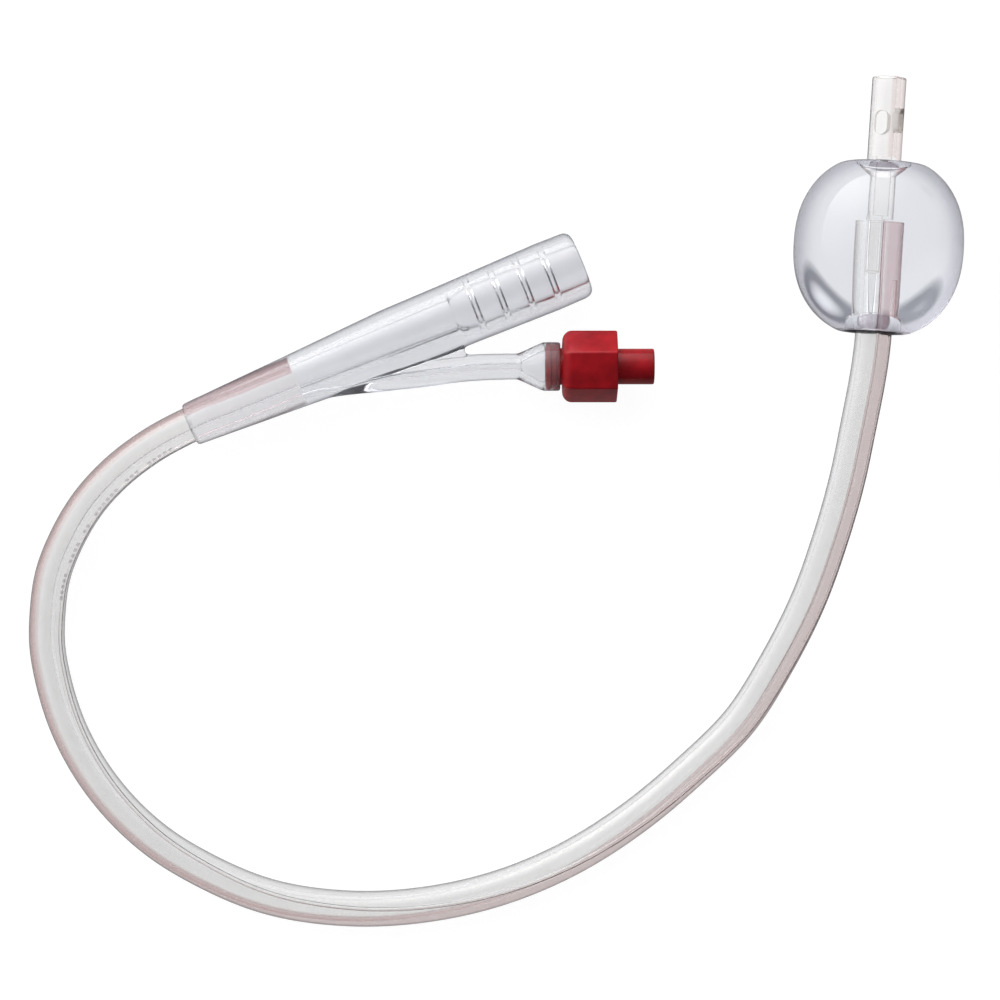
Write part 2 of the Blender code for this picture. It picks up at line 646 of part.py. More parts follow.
def dimple(lip, before, floor, outward):
    """Points from the lip round into the dimple and down to its floor."""
    lip_handle = lip + (lip - before).normalized() * LIP_REACH
    floor_handle = floor + Vector((outward * GROOVE_REACH, GROOVE_OPENING))
    return interpolate_bezier(lip, lip_handle, floor_handle, floor, DIMPLE_STEPS + 1)[1:]


def balloon_side(low_radius, high_radius):
    """(x, radius) points of the sleeve's outer side, from one dimple's floor to the other's."""
    low_end = -math.asin(half_length_at(LOW_LIP_RADIUS) / BALLOON_HALF_LENGTH)
    high_end = math.asin(half_length_at(HIGH_LIP_RADIUS) / BALLOON_HALF_LENGTH)
    side = []
    for station in range(BALLOON_STATIONS * 2 + 1):
        turn = low_end + (high_end - low_end) * station / (BALLOON_STATIONS * 2)
        share = abs(math.sin(turn))
        radius = BALLOON_DIAMETER / 2 * (1.0 - share ** BALLOON_FULLNESS) ** (1.0 / BALLOON_FULLNESS)
        side.append(Vector((BALLOON_HALF_LENGTH * math.sin(turn), radius)))
    low = dimple(side[0], side[1], Vector((-LOW_DIMPLE_AT, low_radius)), -1.0)
    high = dimple(side[-1], side[-2], Vector((HIGH_DIMPLE_AT, high_radius)), 1.0)
    return [*reversed(low), *side, *high]


def inset(side, distance):
    """The side moved inwards, square to itself."""
    moved = []
    for index, point in enumerate(side):
        ahead = side[min(index + 1, len(side) - 1)] - side[max(index - 1, 0)]
        moved.append(point + Vector((ahead.y, -ahead.x)).normalized() * distance)
    return moved


def make_balloon(silicone):
    """The thin sleeve, with one cuff on the tube and one on the tip's head."""
    low = SHAFT_DIAMETER / 2 + FIT
    high = TIP_HEAD_DIAMETER / 2 + FIT
    low_end = -LOW_DIMPLE_AT - CUFF_LENGTH
    high_end = HIGH_DIMPLE_AT + CUFF_LENGTH
    outer = balloon_side(low + CUFF_WALL, high + CUFF_WALL)
    inner = [(BALLOON_WALL - LOW_DIMPLE_AT, low), *inset(outer, BALLOON_WALL)]
    inner.append((HIGH_DIMPLE_AT - BALLOON_WALL, high))
    outline = [(low_end, low + CUFF_WALL), *outer, (high_end, high + CUFF_WALL), (high_end, high)]
    outline += [*reversed(inner), (low_end, low), (low_end, low + CUFF_WALL)]
    return add_piece("balloon", turned_mesh("balloon", outline), BALLOON_CENTRE, TIP_ANGLE, silicone)


def make_balloon_water(water):
    """The filling, a solid of revolution round the tube, the tip's neck and the root of its head."""
    shaft = SHAFT_DIAMETER / 2 + SEAT_GAP
    neck = TIP_NECK_DIAMETER / 2 + SEAT_GAP
    head = TIP_HEAD_DIAMETER / 2 + SEAT_GAP
    clearance = BALLOON_WALL + SEAT_GAP
    low_radius = SHAFT_DIAMETER / 2 + FIT + CUFF_WALL
    high_radius = TIP_HEAD_DIAMETER / 2 + FIT + CUFF_WALL
    low_end = clearance - LOW_DIMPLE_AT
    outline = [(low_end, shaft), *inset(balloon_side(low_radius, high_radius), clearance)]
    head_root = TIP_HEAD_AT - TIP_HEAD_CONE - SEAT_GAP
    outline += [(HIGH_DIMPLE_AT - clearance, head), (head_root, head), (head_root, neck)]
    shaft_end = SHAFT_END_AT + SEAT_GAP
    outline += [(shaft_end, neck), (shaft_end, shaft), (low_end, shaft)]
    return add_piece("balloon_water", turned_mesh("balloon_water", outline), BALLOON_CENTRE, TIP_ANGLE, water)


def eye_outline():
    """An oblong with round ends, long along X."""
    radius = EYE_WIDTH / 2
    shift = EYE_LENGTH / 2 - radius
    outline = []
    for end in (1.0, -1.0):
        for step in range(EYE_ARC_STEPS + 1):
            turn = math.pi * (step / EYE_ARC_STEPS - 0.5)
            outline.append((end * (shift + radius * math.cos(turn)), end * radius * math.sin(turn)))
    return outline


def add_cutter_along_tip(name, outline, aside=0.0):
    sideways = Vector((-TIP_DIRECTION.y, TIP_DIRECTION.x, 0.0))
    return add_piece(name, turned_mesh(name, outline), BALLOON_CENTRE + sideways * aside, TIP_ANGLE)


def make_tip(silicone):
    """The end tube: a spigot in the tube's drainage lumen, a neck, and an open head with its eyes."""
    neck_start = SHAFT_END_AT + SEAT_GAP
    neck = TIP_NECK_DIAMETER / 2
    head = TIP_HEAD_DIAMETER / 2
    outline = [(neck_start, 0.0), (neck_start, neck)]
    outline += [(TIP_HEAD_AT - TIP_HEAD_CONE, neck), (TIP_HEAD_AT, head)]
    outline += [(TIP_END_AT - TIP_END_CHAMFER, head), (TIP_END_AT, head - TIP_END_CHAMFER), (TIP_END_AT, 0.0)]
    tip = add_piece("tip", turned_mesh("tip", outline), BALLOON_CENTRE, TIP_ANGLE, silicone)

    spigot_start = SHAFT_END_AT - TIP_SPIGOT_LENGTH
    spigot_end = neck_start + OVERCUT
    radius = TIP_SPIGOT_DIAMETER / 2
    outline = [(spigot_start, 0.0), (spigot_start, radius), (spigot_end, radius), (spigot_end, 0.0)]
    combine(tip, add_cutter_along_tip("tip_spigot", outline, DRAINAGE_LUMEN_OFFSET), "UNION")

    radius = TIP_SPIGOT_BORE_DIAMETER / 2
    start = spigot_start - OVERCUT
    end = spigot_end + OVERCUT
    outline = [(start, 0.0), (start, radius), (end, radius), (end, 0.0)]
    spigot_bore = add_cutter_along_tip("tip_spigot_bore_cutter", outline, DRAINAGE_LUMEN_OFFSET)
    combine(tip, spigot_bore, "DIFFERENCE")

    radius = TIP_NECK_BORE_DIAMETER / 2
    end = TIP_BORE_AT + OVERCUT
    outline = [(spigot_end, 0.0), (spigot_end, radius), (end, radius), (end, 0.0)]
    combine(tip, add_cutter_along_tip("tip_neck_bore_cutter", outline), "DIFFERENCE")

    radius = TIP_BORE_DIAMETER / 2
    end = TIP_END_AT + OVERCUT
    outline = [(TIP_BORE_AT, 0.0), (TIP_BORE_AT, radius), (end, radius), (end, 0.0)]
    combine(tip, add_cutter_along_tip("tip_bore_cutter", outline, TIP_BORE_OFFSET), "DIFFERENCE")

    for number, (distance, turn) in enumerate(DRAINAGE_EYES, start=1):
        name = f"drainage_eye_{number}_cutter"
        mesh = extruded_mesh(name, eye_outline(), OVERCUT, head + OVERCUT)
        mesh.transform(Matrix.Rotation(-turn, 4, "X"))
        combine(tip, add_piece(name, mesh, along_tip(distance), TIP_ANGLE), "DIFFERENCE")
    return tip


def build():
    clear_scene()
    clear = finish("clear_silicone", (0.93, 0.92, 0.90), 0.12, transmission=0.9, ior=1.41)
    thin = finish("balloon_silicone", (0.95, 0.95, 0.96), 0.05, transmission=1.0, ior=1.41)
    frosted = finish("moulded_silicone", (0.86, 0.87, 0.92), 0.28, transmission=0.75, ior=1.41)
    water = finish("sterile_water", (0.97, 0.98, 1.0), 0.0, transmission=1.0, ior=1.33)
    red = finish("red_valve_plastic", (0.42, 0.012, 0.02), 0.18, transmission=0.25, ior=1.5)
    white = finish("white_valve_plastic", (0.82, 0.81, 0.78), 0.45)
    rubber = finish("valve_rubber", (0.10, 0.10, 0.10), 0.7)
    steel = finish("spring_steel", (0.56, 0.56, 0.55), 0.3, metallic=1.0)
    make_shaft(clear)
    make_tip(clear)
    make_balloon(thin)
    make_balloon_water(water)
    make_y_funnel(frosted)
    make_valve_body(red)
    make_valve_plunger(white)
    make_valve_seal(rubber)
    make_valve_spring(steel)
    make_valve_retainer(white)


build()
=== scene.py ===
"""The looks of a two-way Foley urinary catheter with its balloon filled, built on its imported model.

Metres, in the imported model's frame: the drainage funnel lies along X with its mouth at +X, and the
surface that the catheter lies on is at Z = 0.
"""

import math

import bmesh
import bpy
import numpy as np
from mathutils import Matrix, Vector
from mathutils.geometry import interpolate_bezier


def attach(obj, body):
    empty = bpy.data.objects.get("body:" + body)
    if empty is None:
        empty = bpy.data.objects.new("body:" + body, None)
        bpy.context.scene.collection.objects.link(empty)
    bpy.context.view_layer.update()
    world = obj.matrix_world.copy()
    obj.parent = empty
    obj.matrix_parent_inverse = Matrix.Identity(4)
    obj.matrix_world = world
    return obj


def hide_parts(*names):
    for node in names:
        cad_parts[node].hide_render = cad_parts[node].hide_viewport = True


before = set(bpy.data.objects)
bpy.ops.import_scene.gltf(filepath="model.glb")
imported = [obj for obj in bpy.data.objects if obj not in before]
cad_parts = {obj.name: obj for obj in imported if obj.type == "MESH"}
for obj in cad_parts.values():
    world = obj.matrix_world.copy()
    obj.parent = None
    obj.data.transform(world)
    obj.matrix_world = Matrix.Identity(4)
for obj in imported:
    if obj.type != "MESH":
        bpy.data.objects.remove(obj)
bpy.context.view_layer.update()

# Camera: over the loop's middle, looking straight down and turned about Z
CAMERA_PLACE = (-0.0227, -0.0202, 0.476)
CAMERA_TURN = math.radians(-22.5)
VIEW_WIDTH = 0.168

# Tube
SHAFT_DIAMETER = 0.0060
DRAINAGE_LUMEN_DIAMETER = 0.0028
DRAINAGE_LUMEN_OFFSET = 0.00055
INFLATION_LUMEN_DIAMETER = 0.0007
INFLATION_LUMEN_OFFSET = 0.0021
INFLATION_PLUG_AT = -0.0040
SHAFT_DROP_LENGTH = 0.048
SHAFT_RISE_LENGTH = 0.075
SHAFT_STRAIGHT_FROM = -0.0179
SHAFT_ROUTE = (
    (-0.0736, 0.0106),
    (-0.0811, 0.0086),
    (-0.0871, 0.0058),
    (-0.0926, 0.0018),
    (-0.0973, -0.0030),
    (-0.1005, -0.0083),
    (-0.1028, -0.0136),
    (-0.1041, -0.0193),
    (-0.1048, -0.0288),
    (-0.1030, -0.0403),
    (-0.0982, -0.0515),
    (-0.0927, -0.0590),
    (-0.0853, -0.0665),
    (-0.0725, -0.0743),
    (-0.0599, -0.0787),
    (-0.0482, -0.0807),
    (-0.0355, -0.0807),
    (-0.0218, -0.0783),
    (-0.0110, -0.0749),
    (0.0005, -0.0701),
    (0.0100, -0.0632),
    (0.0187, -0.0553),
    (0.0256, -0.0473),
    (0.0318, -0.0391),
    (0.0364, -0.0321),
)

# Y moulding, measured from the end that takes the tube
FUNNEL_START_X = -0.0660
FUNNEL_Y = 0.0114
FUNNEL_LENGTH = 0.0712
SOCKET_DEPTH = 0.0197
SOCKET_FIT = 0.00004
LIP_SOFTNESS = 0.0004
SOCKET_LIP_WALL = 0.00045
SOCKET_END_WALL = 0.0014
THROAT_DIAMETER = 0.0038
BORE_DIAMETER = 0.0052
BORE_WALL = 0.0029
FUNNEL_SHOULDER_AT = 0.0370
BORE_STEP_AT = 0.0479
BORE_STEP_DIAMETER = 0.0061
BORE_STEP_LENGTH = 0.0006
BORE_STEP_WALL = 0.0030
MOUTH_DIAMETER = 0.0069
MOUTH_WALL = 0.00245
MOUTH_ROUNDING = 0.0014
MOUTH_DRAW = 0.0001
WIDEST_AT = 0.0648
RING_COUNT = 4
RING_PITCH = 0.0045
RING_HEIGHT = 0.00035
RING_TOP_WIDTH = 0.0005
RING_BASE_WIDTH = 0.0011
LAST_RING_BEFORE_MOUTH = 0.0058
ARM_ROUTE = (
    (0.0150, -0.0010),
    (0.0239, -0.0024),
    (0.0325, -0.0049),
    (0.0391, -0.0069),
    (0.0463, -0.0089),
)
ARM_ROOT_DIAMETER = 0.0050
ARM_NECK_DIAMETER = 0.00434
CHANNEL_DIAMETER = 0.0009
CHANNEL_BENDS = ((0.0220, -0.00235), (0.0250, -0.0030))
WEB_END_AT = 0.0474
WEB_START_AT = 0.0300
WEB_INNER_SIDE = -0.0025
WEB_THICKNESS = 0.0025

# Valve: the hexagon's inner face, from the funnel's start and axis
VALVE_AT = 0.06151
VALVE_ASIDE = -0.01487
VALVE_ANGLE = math.radians(-22.5)
HEX_CIRCUMRADIUS = 0.00615
HEX_CORNER_ROUNDING = 0.0005
HEX_LENGTH = 0.00924
HEX_ROLL = math.radians(20.0)
HEX_SHOULDER = 0.0016
HEX_SHOULDER_SHARE = 0.70
HEX_END_ROUNDING = 0.0003
NUB_DIAMETER = 0.0060
NUB_LENGTH = 0.0062
NUB_ROUNDING = 0.00025
SPIGOT_DIAMETER = 0.0062
SPIGOT_LENGTH = 0.0027
BARB_COUNT = 3
BARB_DEPTH = 0.00035
BARB_RISE = 0.8
CUP_LENGTH = 0.0076
CUP_CONE_LENGTH = 0.0047
CUP_CONE_INSET = 0.0002
CUP_WALL = 0.0008
CUP_FLOOR = 0.0012
CUP_INLET_DIAMETER = 0.0016
CUP_FIT = 0.0002
LUER_DIAMETER = 0.0043
LUER_TAPER = 0.06
LUER_DEPTH = 0.0066
SEAT_THICKNESS = 0.0011
SEAT_HOLE_DIAMETER = 0.0022
CHAMBER_DIAMETER = 0.0048
SEAT_GAP = 0.0003

# Balloon, whose middle is the origin of the tip's own axis
BALLOON_X = 0.05103
BALLOON_Y = -0.00546
TIP_ANGLE = math.radians(63.7)
BALLOON_DIAMETER = 0.0279
BALLOON_HALF_LENGTH = 0.0151
BALLOON_FULLNESS = 2.25
BALLOON_WALL = 0.00035
LOW_LIP_RADIUS = 0.0062
HIGH_LIP_RADIUS = 0.0078
LIP_REACH = 0.0028
LOW_DIMPLE_AT = 0.0100
HIGH_DIMPLE_AT = 0.0108
GROOVE_REACH = 0.0016
GROOVE_OPENING = 0.0005
CUFF_WALL = 0.00025
CUFF_LENGTH = 0.0028
CUFF_FIT = 0.00003

# Tip, with places along its axis from the balloon's middle
SHAFT_END_AT = 0.0034
TIP_END_AT = 0.0279
TIP_HEAD_AT = 0.0102
TIP_HEAD_CONE = 0.0010
TIP_HEAD_DIAMETER = 0.0056
TIP_END_ROUNDING = 0.0002
TIP_BORE_DIAMETER = 0.0036
TIP_BORE_AT = 0.0147
TIP_BORE_OFFSET = 0.0004
TIP_NECK_DIAMETER = 0.0032
TIP_NECK_BORE_DIAMETER = 0.0018
TIP_SPIGOT_DIAMETER = 0.0023
TIP_SPIGOT_BORE_DIAMETER = 0.0016
TIP_SPIGOT_LENGTH = 0.0070
EYE_LENGTH = 0.0040
EYE_WIDTH = 0.0022
DRAINAGE_EYES = ((0.0202, math.radians(29.0)), (0.0208, math.radians(-62.0)))

# Tinted band along the loop's outer side, by how far a point of the wall lies outward, from -1 to 1
OUTWARD_BAND = (0.46, 0.76)
# How far that band turns upwards round the tube, from the socket to the balloon
BAND_TURN = math.radians(28.0)

# Print on the tube: places from the moulding's start, and turn from the loop's inner side towards the top
PRINT_START = 0.0040
PRINT_END = 0.0400
PRINT_TURN = math.radians(38.0)
PRINT_LINE_WIDTH = 0.00075
PRINT_RAISED = 0.00002
MARK_LENGTH = 0.0007
MARK_GAP = 0.0004
WORD_GAP = 0.0016
WORD_LENGTHS = (5, 3, 6, 2, 4, 5, 3)

# Studio round the stage: its colour from opposite the soft light to the middle of it, and the direction
# towards that light, leftwards, upwards in the view and off the floor
SKY = (
    (0.0, (0.014, 0.012, 0.013)),
    (0.50, (0.030, 0.028, 0.030)),
    (0.75, (0.10, 0.098, 0.102)),
    (0.92, (0.52, 0.52, 0.53)),
    (1.0, (1.0, 0.99, 0.98)),
)
SKY_STRENGTH = 4.6
SKY_LIGHT_FROM = (0.53, 0.83, 0.22)

# Painted shadow and painted light on the floor under the balloon: a dark oval line of painted shadow where
# it rests, with a ring of painted light round it for the light that the water gathers.
# Half its length along the tip and across it, the shares of those sizes between which it is shaded, and
# its shades from the first share to the last
PAINTED_SHADOW_AND_LIGHT_CENTRE = (0.05305, -0.00473, 0.0)
PAINTED_SHADOW_AND_LIGHT_REACH = (0.0065, 0.0053, 1.0)
PAINTED_SHADOW_AND_LIGHT_SHARES = (0.94, 1.34)
PAINTED_SHADOW_AND_LIGHT_STOPS = (
    (0.0, (1.0, 1.0, 1.0)),
    (0.12, (0.33, 0.34, 0.37)),
    (0.18, (0.33, 0.34, 0.37)),
    (0.30, (1.5, 1.5, 1.52)),
    (0.80, (1.35, 1.35, 1.36)),
    (1.0, (1.0, 1.0, 1.0)),
)
FLOOR_HALF_SIZE = 1.5
FLOOR_COLOR = (0.15, 0.15, 0.15)
FLOOR_ROUGHNESS = 0.9
FLOOR_GLOW = 0.95
FLOOR_GLOW_AS_LIGHT = 0.20

# Fineness of the meshes
RING_SPACING = 0.0010
OUTER_STEPS = 64
LUMEN_STEPS = 40
FINE_STEPS = 16
TURN_STEPS = 96
BALLOON_STATIONS = 64
VOXEL = 0.00028
SMOOTHING_STEPS = 8
SMOOTHING_FACTOR = 0.5
CURVE_STEPS = 24
MOUTH_STEPS = 5
EDGE_STEPS = 4
SHOULDER_STEPS = 8
EYE_END_STEPS = 16
MARK_STEPS = 3
OVERCUT = 0.0005
SMOOTH_ANGLE = math.radians(32.0)
LIGHT_BOUNCES = 24
TRANSPARENT_BOUNCES = 16

# Material slots: the tube and the tip, the balloon, and the Y moulding, whose outside has slot 0
TUBE_IN_AIR, TUBE_IN_WATER, TUBE_LUMEN, TUBE_BONDED, TUBE_EYE = range(5)
SKIN_IN_AIR, SKIN_IN_WATER, SKIN_BONDED, SKIN_PAINTED_FOLD_SHADE = range(4)
MOULD_BORE, MOULD_BONDED = 1, 2

# Fine grain of the materials
NOISE_DETAIL = 3.0
CLOUD_SCALE = 260.0
CLOUD_STOPS = (0.3, 0.7)
RIPPLE_SCALE = 1040.0
RIPPLE_DEPTH = 0.00004
GRAIN_SCALE = 900.0
GRAIN_SHARE = 3.0
GRAIN_DEPTH = 0.00003

# Clear materials: the two ends of the tint's drift, how much light bends and passes, the range of the
# finish, and the ripples. An edge is painted shade: a darker tint where the surface turns away, from one
# facing to another. A band is the tint of the outward side. Absorption is a colour with its density.
IOR_BONDED = 1.01
IOR_SILICONE = 1.41
IOR_SILICONE_IN_WATER = 1.06
CLEAR_MATERIALS = {
    "clear_silicone": dict(
        tints=((0.94, 0.94, 0.95), (0.91, 0.91, 0.915)),
        ior=IOR_SILICONE,
        transmission=0.90,
        roughness=(0.03, 0.07),
        ripple=0.05,
        edge=(0.35, 0.9, (0.20, 0.19, 0.20)),
        band=(0.66, 0.51, 0.50),
        absorption=((0.80, 0.805, 0.79), 115.0),
    ),
    "silicone_in_water": dict(
        tints=((0.99, 0.985, 0.965), (0.98, 0.975, 0.955)),
        ior=IOR_SILICONE_IN_WATER,
        transmission=1.0,
        roughness=(0.02, 0.05),
        ripple=0.02,
        edge=(0.25, 0.8, (0.46, 0.42, 0.42)),
        band=(0.62, 0.44, 0.46),
    ),
    "lumen_silicone": dict(
        tints=((1.0, 0.995, 0.99), (0.99, 0.985, 0.98)),
        ior=IOR_SILICONE,
        transmission=1.0,
        roughness=(0.04, 0.08),
        ripple=0.05,
        edge=(0.45, 0.95, (0.45, 0.44, 0.46)),
    ),
    "bonded_silicone": dict(
        tints=((1.0, 0.995, 0.99), (0.99, 0.985, 0.98)),
        ior=IOR_BONDED,
        transmission=1.0,
        roughness=(0.04, 0.08),
        ripple=0.0,
        edge=(0.35, 0.9, (0.62, 0.58, 0.58)),
        band=(0.46, 0.27, 0.28),
    ),
    "eye_silicone": dict(
        tints=((1.0, 0.95, 0.90), (0.98, 0.93, 0.87)),
        ior=IOR_BONDED,
        transmission=0.50,
        roughness=(0.10, 0.15),
        ripple=0.02,
    ),
    "tip_silicone": dict(
        tints=((0.94, 0.935, 0.935), (0.92, 0.915, 0.91)),
        ior=IOR_SILICONE,
        transmission=0.93,
        roughness=(0.03, 0.07),
        ripple=0.05,
        edge=(0.35, 0.9, (0.26, 0.24, 0.25)),
        band=(0.84, 0.72, 0.70),
    ),
    "balloon_silicone": dict(
        tints=((0.87, 0.88, 0.91), (0.85, 0.865, 0.895)),
        ior=IOR_SILICONE,
        transmission=0.97,
        roughness=(0.01, 0.03),
        ripple=0.01,
        edge=(0.28, 0.66, (0.56, 0.54, 0.60)),
    ),
    "balloon_in_water": dict(
        tints=((0.95, 0.955, 0.965), (0.94, 0.945, 0.96)),
        ior=IOR_SILICONE_IN_WATER,
        transmission=1.0,
        roughness=(0.01, 0.03),
        ripple=0.01,
        edge=(0.55, 0.9, (0.5, 0.49, 0.52)),
    ),
    # Painted shade: a darker tint on the balloon's dimples, where the sleeve folds in.
    "balloon_fold_painted_shade": dict(
        tints=((0.66, 0.62, 0.67), (0.62, 0.58, 0.62)),
        ior=IOR_SILICONE,
        transmission=0.97,
        roughness=(0.01, 0.03),
        ripple=0.01,
        edge=(0.4, 0.85, (0.35, 0.34, 0.37)),
    ),
    "moulded_silicone": dict(
        tints=((0.94, 0.945, 0.96), (0.91, 0.92, 0.94)),
        ior=IOR_SILICONE,
        transmission=0.90,
        roughness=(0.10, 0.15),
        ripple=0.08,
        edge=(0.38, 0.88, (0.27, 0.27, 0.31)),
        absorption=((0.80, 0.81, 0.84), 90.0),
    ),
    "bore_silicone": dict(
        tints=((0.98, 0.98, 0.985), (0.96, 0.965, 0.97)),
        ior=IOR_SILICONE,
        transmission=0.98,
        roughness=(0.08, 0.14),
        ripple=0.06,
        edge=(0.4, 0.9, (0.30, 0.30, 0.34)),
    ),
    "print_ink": dict(
        tints=((0.46, 0.45, 0.48), (0.56, 0.55, 0.58)),
        ior=IOR_BONDED,
        transmission=0.96,
        roughness=(0.10, 0.15),
        ripple=0.0,
    ),
}
SOLID_MATERIALS = {
    "red_plastic": dict(
        tints=((0.52, 0.010, 0.018), (0.30, 0.006, 0.011)),
        roughness=(0.18, 0.28),
        ripple=0.05,
        scale=340.0,
        specular=0.3,
    ),
    "white_plastic": dict(
        tints=((0.80, 0.79, 0.75), (0.86, 0.85, 0.82)),
        roughness=(0.38, 0.5),
        ripple=0.1,
    ),
    "black_rubber": dict(
        tints=((0.035, 0.035, 0.037), (0.055, 0.055, 0.055)),
        roughness=(0.6, 0.75),
        ripple=0.2,
    ),
    "spring_wire": dict(
        tints=((0.55, 0.55, 0.54), (0.66, 0.66, 0.65)),
        roughness=(0.22, 0.32),
        ripple=0.1,
        metallic=1.0,
    ),
}

# Materials of each piece by its slots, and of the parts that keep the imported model's shape
TUBE_SLOTS = ("clear_silicone", "silicone_in_water", "lumen_silicone", "bonded_silicone")
TIP_SLOTS = ("tip_silicone", "silicone_in_water", "lumen_silicone", "bonded_silicone", "eye_silicone")
BALLOON_SLOTS = ("balloon_silicone", "balloon_in_water", "bonded_silicone", "balloon_fold_painted_shade")
MOULDING_SLOTS = ("moulded_silicone", "bore_silicone", "bonded_silicone")
INNER_FINISHES = {
    "valve_plunger": "white_plastic",
    "valve_retainer": "white_plastic",
    "valve_seal": "black_rubber",
    "valve_spring": "spring_wire",
}

# Places that follow from the sizes
AXIS_Z = MOUTH_DIAMETER / 2 + MOUTH_WALL
FUNNEL_START = Vector((FUNNEL_START_X, FUNNEL_Y, AXIS_Z))
VALVE_ORIGIN = FUNNEL_START + Vector((VALVE_AT, VALVE_ASIDE, 0.0))
VALVE_DIRECTION = Vector((math.cos(VALVE_ANGLE), math.sin(VALVE_ANGLE), 0.0))
BALLOON_CENTRE = Vector((BALLOON_X, BALLOON_Y, BALLOON_DIAMETER / 2))
TIP_DIRECTION = Vector((math.cos(TIP_ANGLE), math.sin(TIP_ANGLE), 0.0))
TIP_SIDE = Vector((-TIP_DIRECTION.y, TIP_DIRECTION.x, 0.0))
PORT_END_AT = HEX_LENGTH + NUB_LENGTH
SEAT_OUTER_AT = PORT_END_AT - LUER_DEPTH
SEAT_INNER_AT = SEAT_OUTER_AT - SEAT_THICKNESS
CUP_START_AT = -SEAT_GAP - CUP_LENGTH
IN_SOCKET_UNTIL = SOCKET_DEPTH - SEAT_GAP - LIP_SOFTNESS
IN_WATER_FROM = SHAFT_END_AT + LOW_DIMPLE_AT - BALLOON_WALL
IN_CUFF_FROM = IN_WATER_FROM + BALLOON_WALL + CUFF_LENGTH
CUP_BORE_RADIUS = SPIGOT_DIAMETER / 2 + CUP_FIT


def smooth_path(knots, spacing, stops=()):
    """Evenly spaced points on one smooth curve through the knots, and their distances from its start.

    A stop is a distance that gets a point of its own, measured back from the end if it is negative.
    """
    chords = [after - before for before, after in zip(knots, knots[1:])]
    slopes = [chords[0].normalized()]
    for back, ahead in zip(chords, chords[1:]):
        total = back.length + ahead.length
        slopes.append((back * (ahead.length / back.length) + ahead * (back.length / ahead.length)) / total)
    slopes.append(chords[-1].normalized())
    fine = []
    for index, chord in enumerate(chords):
        reach = chord.length / 3
        handle = knots[index] + slopes[index] * reach
        next_handle = knots[index + 1] - slopes[index + 1] * reach
        fine += interpolate_bezier(knots[index], handle, next_handle, knots[index + 1], CURVE_STEPS)[:-1]
    fine.append(knots[-1])
    fine = np.array(fine)
    marks = np.concatenate([[0.0], np.cumsum(np.linalg.norm(np.diff(fine, axis=0), axis=1))])
    distances = np.linspace(0.0, marks[-1], round(marks[-1] / spacing) + 1)
    distances = np.union1d(distances, [stop + marks[-1] if stop < 0.0 else stop for stop in stops])
    columns = [np.interp(distances, marks, fine[:, axis]) for axis in range(3)]
    return [Vector(point) for point in zip(*columns)], distances


def eased(share):
    """0 to 1 with a level start and a level end."""
    share = min(max(share, 0.0), 1.0)
    return share * share * (3.0 - 2.0 * share)


def along_funnel(distance, aside=0.0):
    return FUNNEL_START + Vector((distance, aside, 0.0))


def along_valve(distance):
    return VALVE_ORIGIN + VALVE_DIRECTION * distance


def along_tip(distance, aside=0.0):
    return BALLOON_CENTRE + TIP_DIRECTION * distance + TIP_SIDE * aside


def placed(origin, angle=0.0):
    return Matrix.Translation(origin) @ Matrix.Rotation(angle, 4, "Z")


def shaft_path():
    """The tube's axis from the socket to its end in the balloon, with the distances along it."""
    socket_end = along_funnel(SOCKET_DEPTH - SEAT_GAP)
    knots = [socket_end, (socket_end + FUNNEL_START) / 2, FUNNEL_START]
    knots += [Vector((x, y, 0.0)) for x, y in SHAFT_ROUTE]
    knots += [along_tip(SHAFT_STRAIGHT_FROM), along_tip(0.0), along_tip(SHAFT_END_AT)]
    level = [Vector((knot.x, knot.y, 0.0)) for knot in knots]
    points, distances = smooth_path(level, RING_SPACING, (IN_SOCKET_UNTIL, -IN_CUFF_FROM, -IN_WATER_FROM))
    lying = SHAFT_DIAMETER / 2
    rise_end = distances[-1] - (SHAFT_END_AT - SHAFT_STRAIGHT_FROM)
    for point, distance in zip(points, distances):
        drop = eased((distance - SOCKET_DEPTH) / SHAFT_DROP_LENGTH)
        rise = eased((distance - rise_end + SHAFT_RISE_LENGTH) / SHAFT_RISE_LENGTH)
        point.z = AXIS_Z + (lying - AXIS_Z) * drop + (BALLOON_CENTRE.z - lying) * rise
    return points, distances


def sections(points):
    """For each point of a path: the level direction to its left, and the one square to both and up."""
    found = []
    for index in range(len(points)):
        ahead = points[min(index + 1, len(points) - 1)] - points[max(index - 1, 0)]
        side = Vector((-ahead.y, ahead.x, 0.0)).normalized()
        found.append((side, ahead.normalized().cross(side)))
    return found


# Camera
def add_camera():
    data = bpy.data.cameras.new("camera")
    data.angle = 2.0 * math.atan(VIEW_WIDTH / 2 / (CAMERA_PLACE[2] - AXIS_Z))
    camera = bpy.data.objects.new("camera", data)
    camera.location = CAMERA_PLACE
    camera.rotation_euler.z = CAMERA_TURN
    bpy.context.scene.collection.objects.link(camera)
    bpy.context.scene.camera = camera


# Materials
def new_material(name):
    material = bpy.data.materials.new(name)
    material.use_nodes = True
    nodes = material.node_tree.nodes
    return material, nodes, material.node_tree.links, nodes["Principled BSDF"]


def add_noise(nodes, links, scale):
    """Noise over the piece's own metres."""
    place = nodes.new("ShaderNodeTexCoord")
    noise = nodes.new("ShaderNodeTexNoise")
    noise.inputs["Scale"].default_value = scale
    noise.inputs["Detail"].default_value = NOISE_DETAIL
    links.new(place.outputs["Object"], noise.inputs["Vector"])
    return noise.outputs["Fac"]


def add_ramp(nodes, links, source, stops):
    ramp = nodes.new("ShaderNodeValToRGB")
    while len(ramp.color_ramp.elements) < len(stops):
        ramp.color_ramp.elements.new(0.5)
    for element, (place, color) in zip(ramp.color_ramp.elements, stops):
        element.position = place
        element.color = (*color, 1.0)
    links.new(source, ramp.inputs["Fac"])
    return ramp.outputs["Color"]


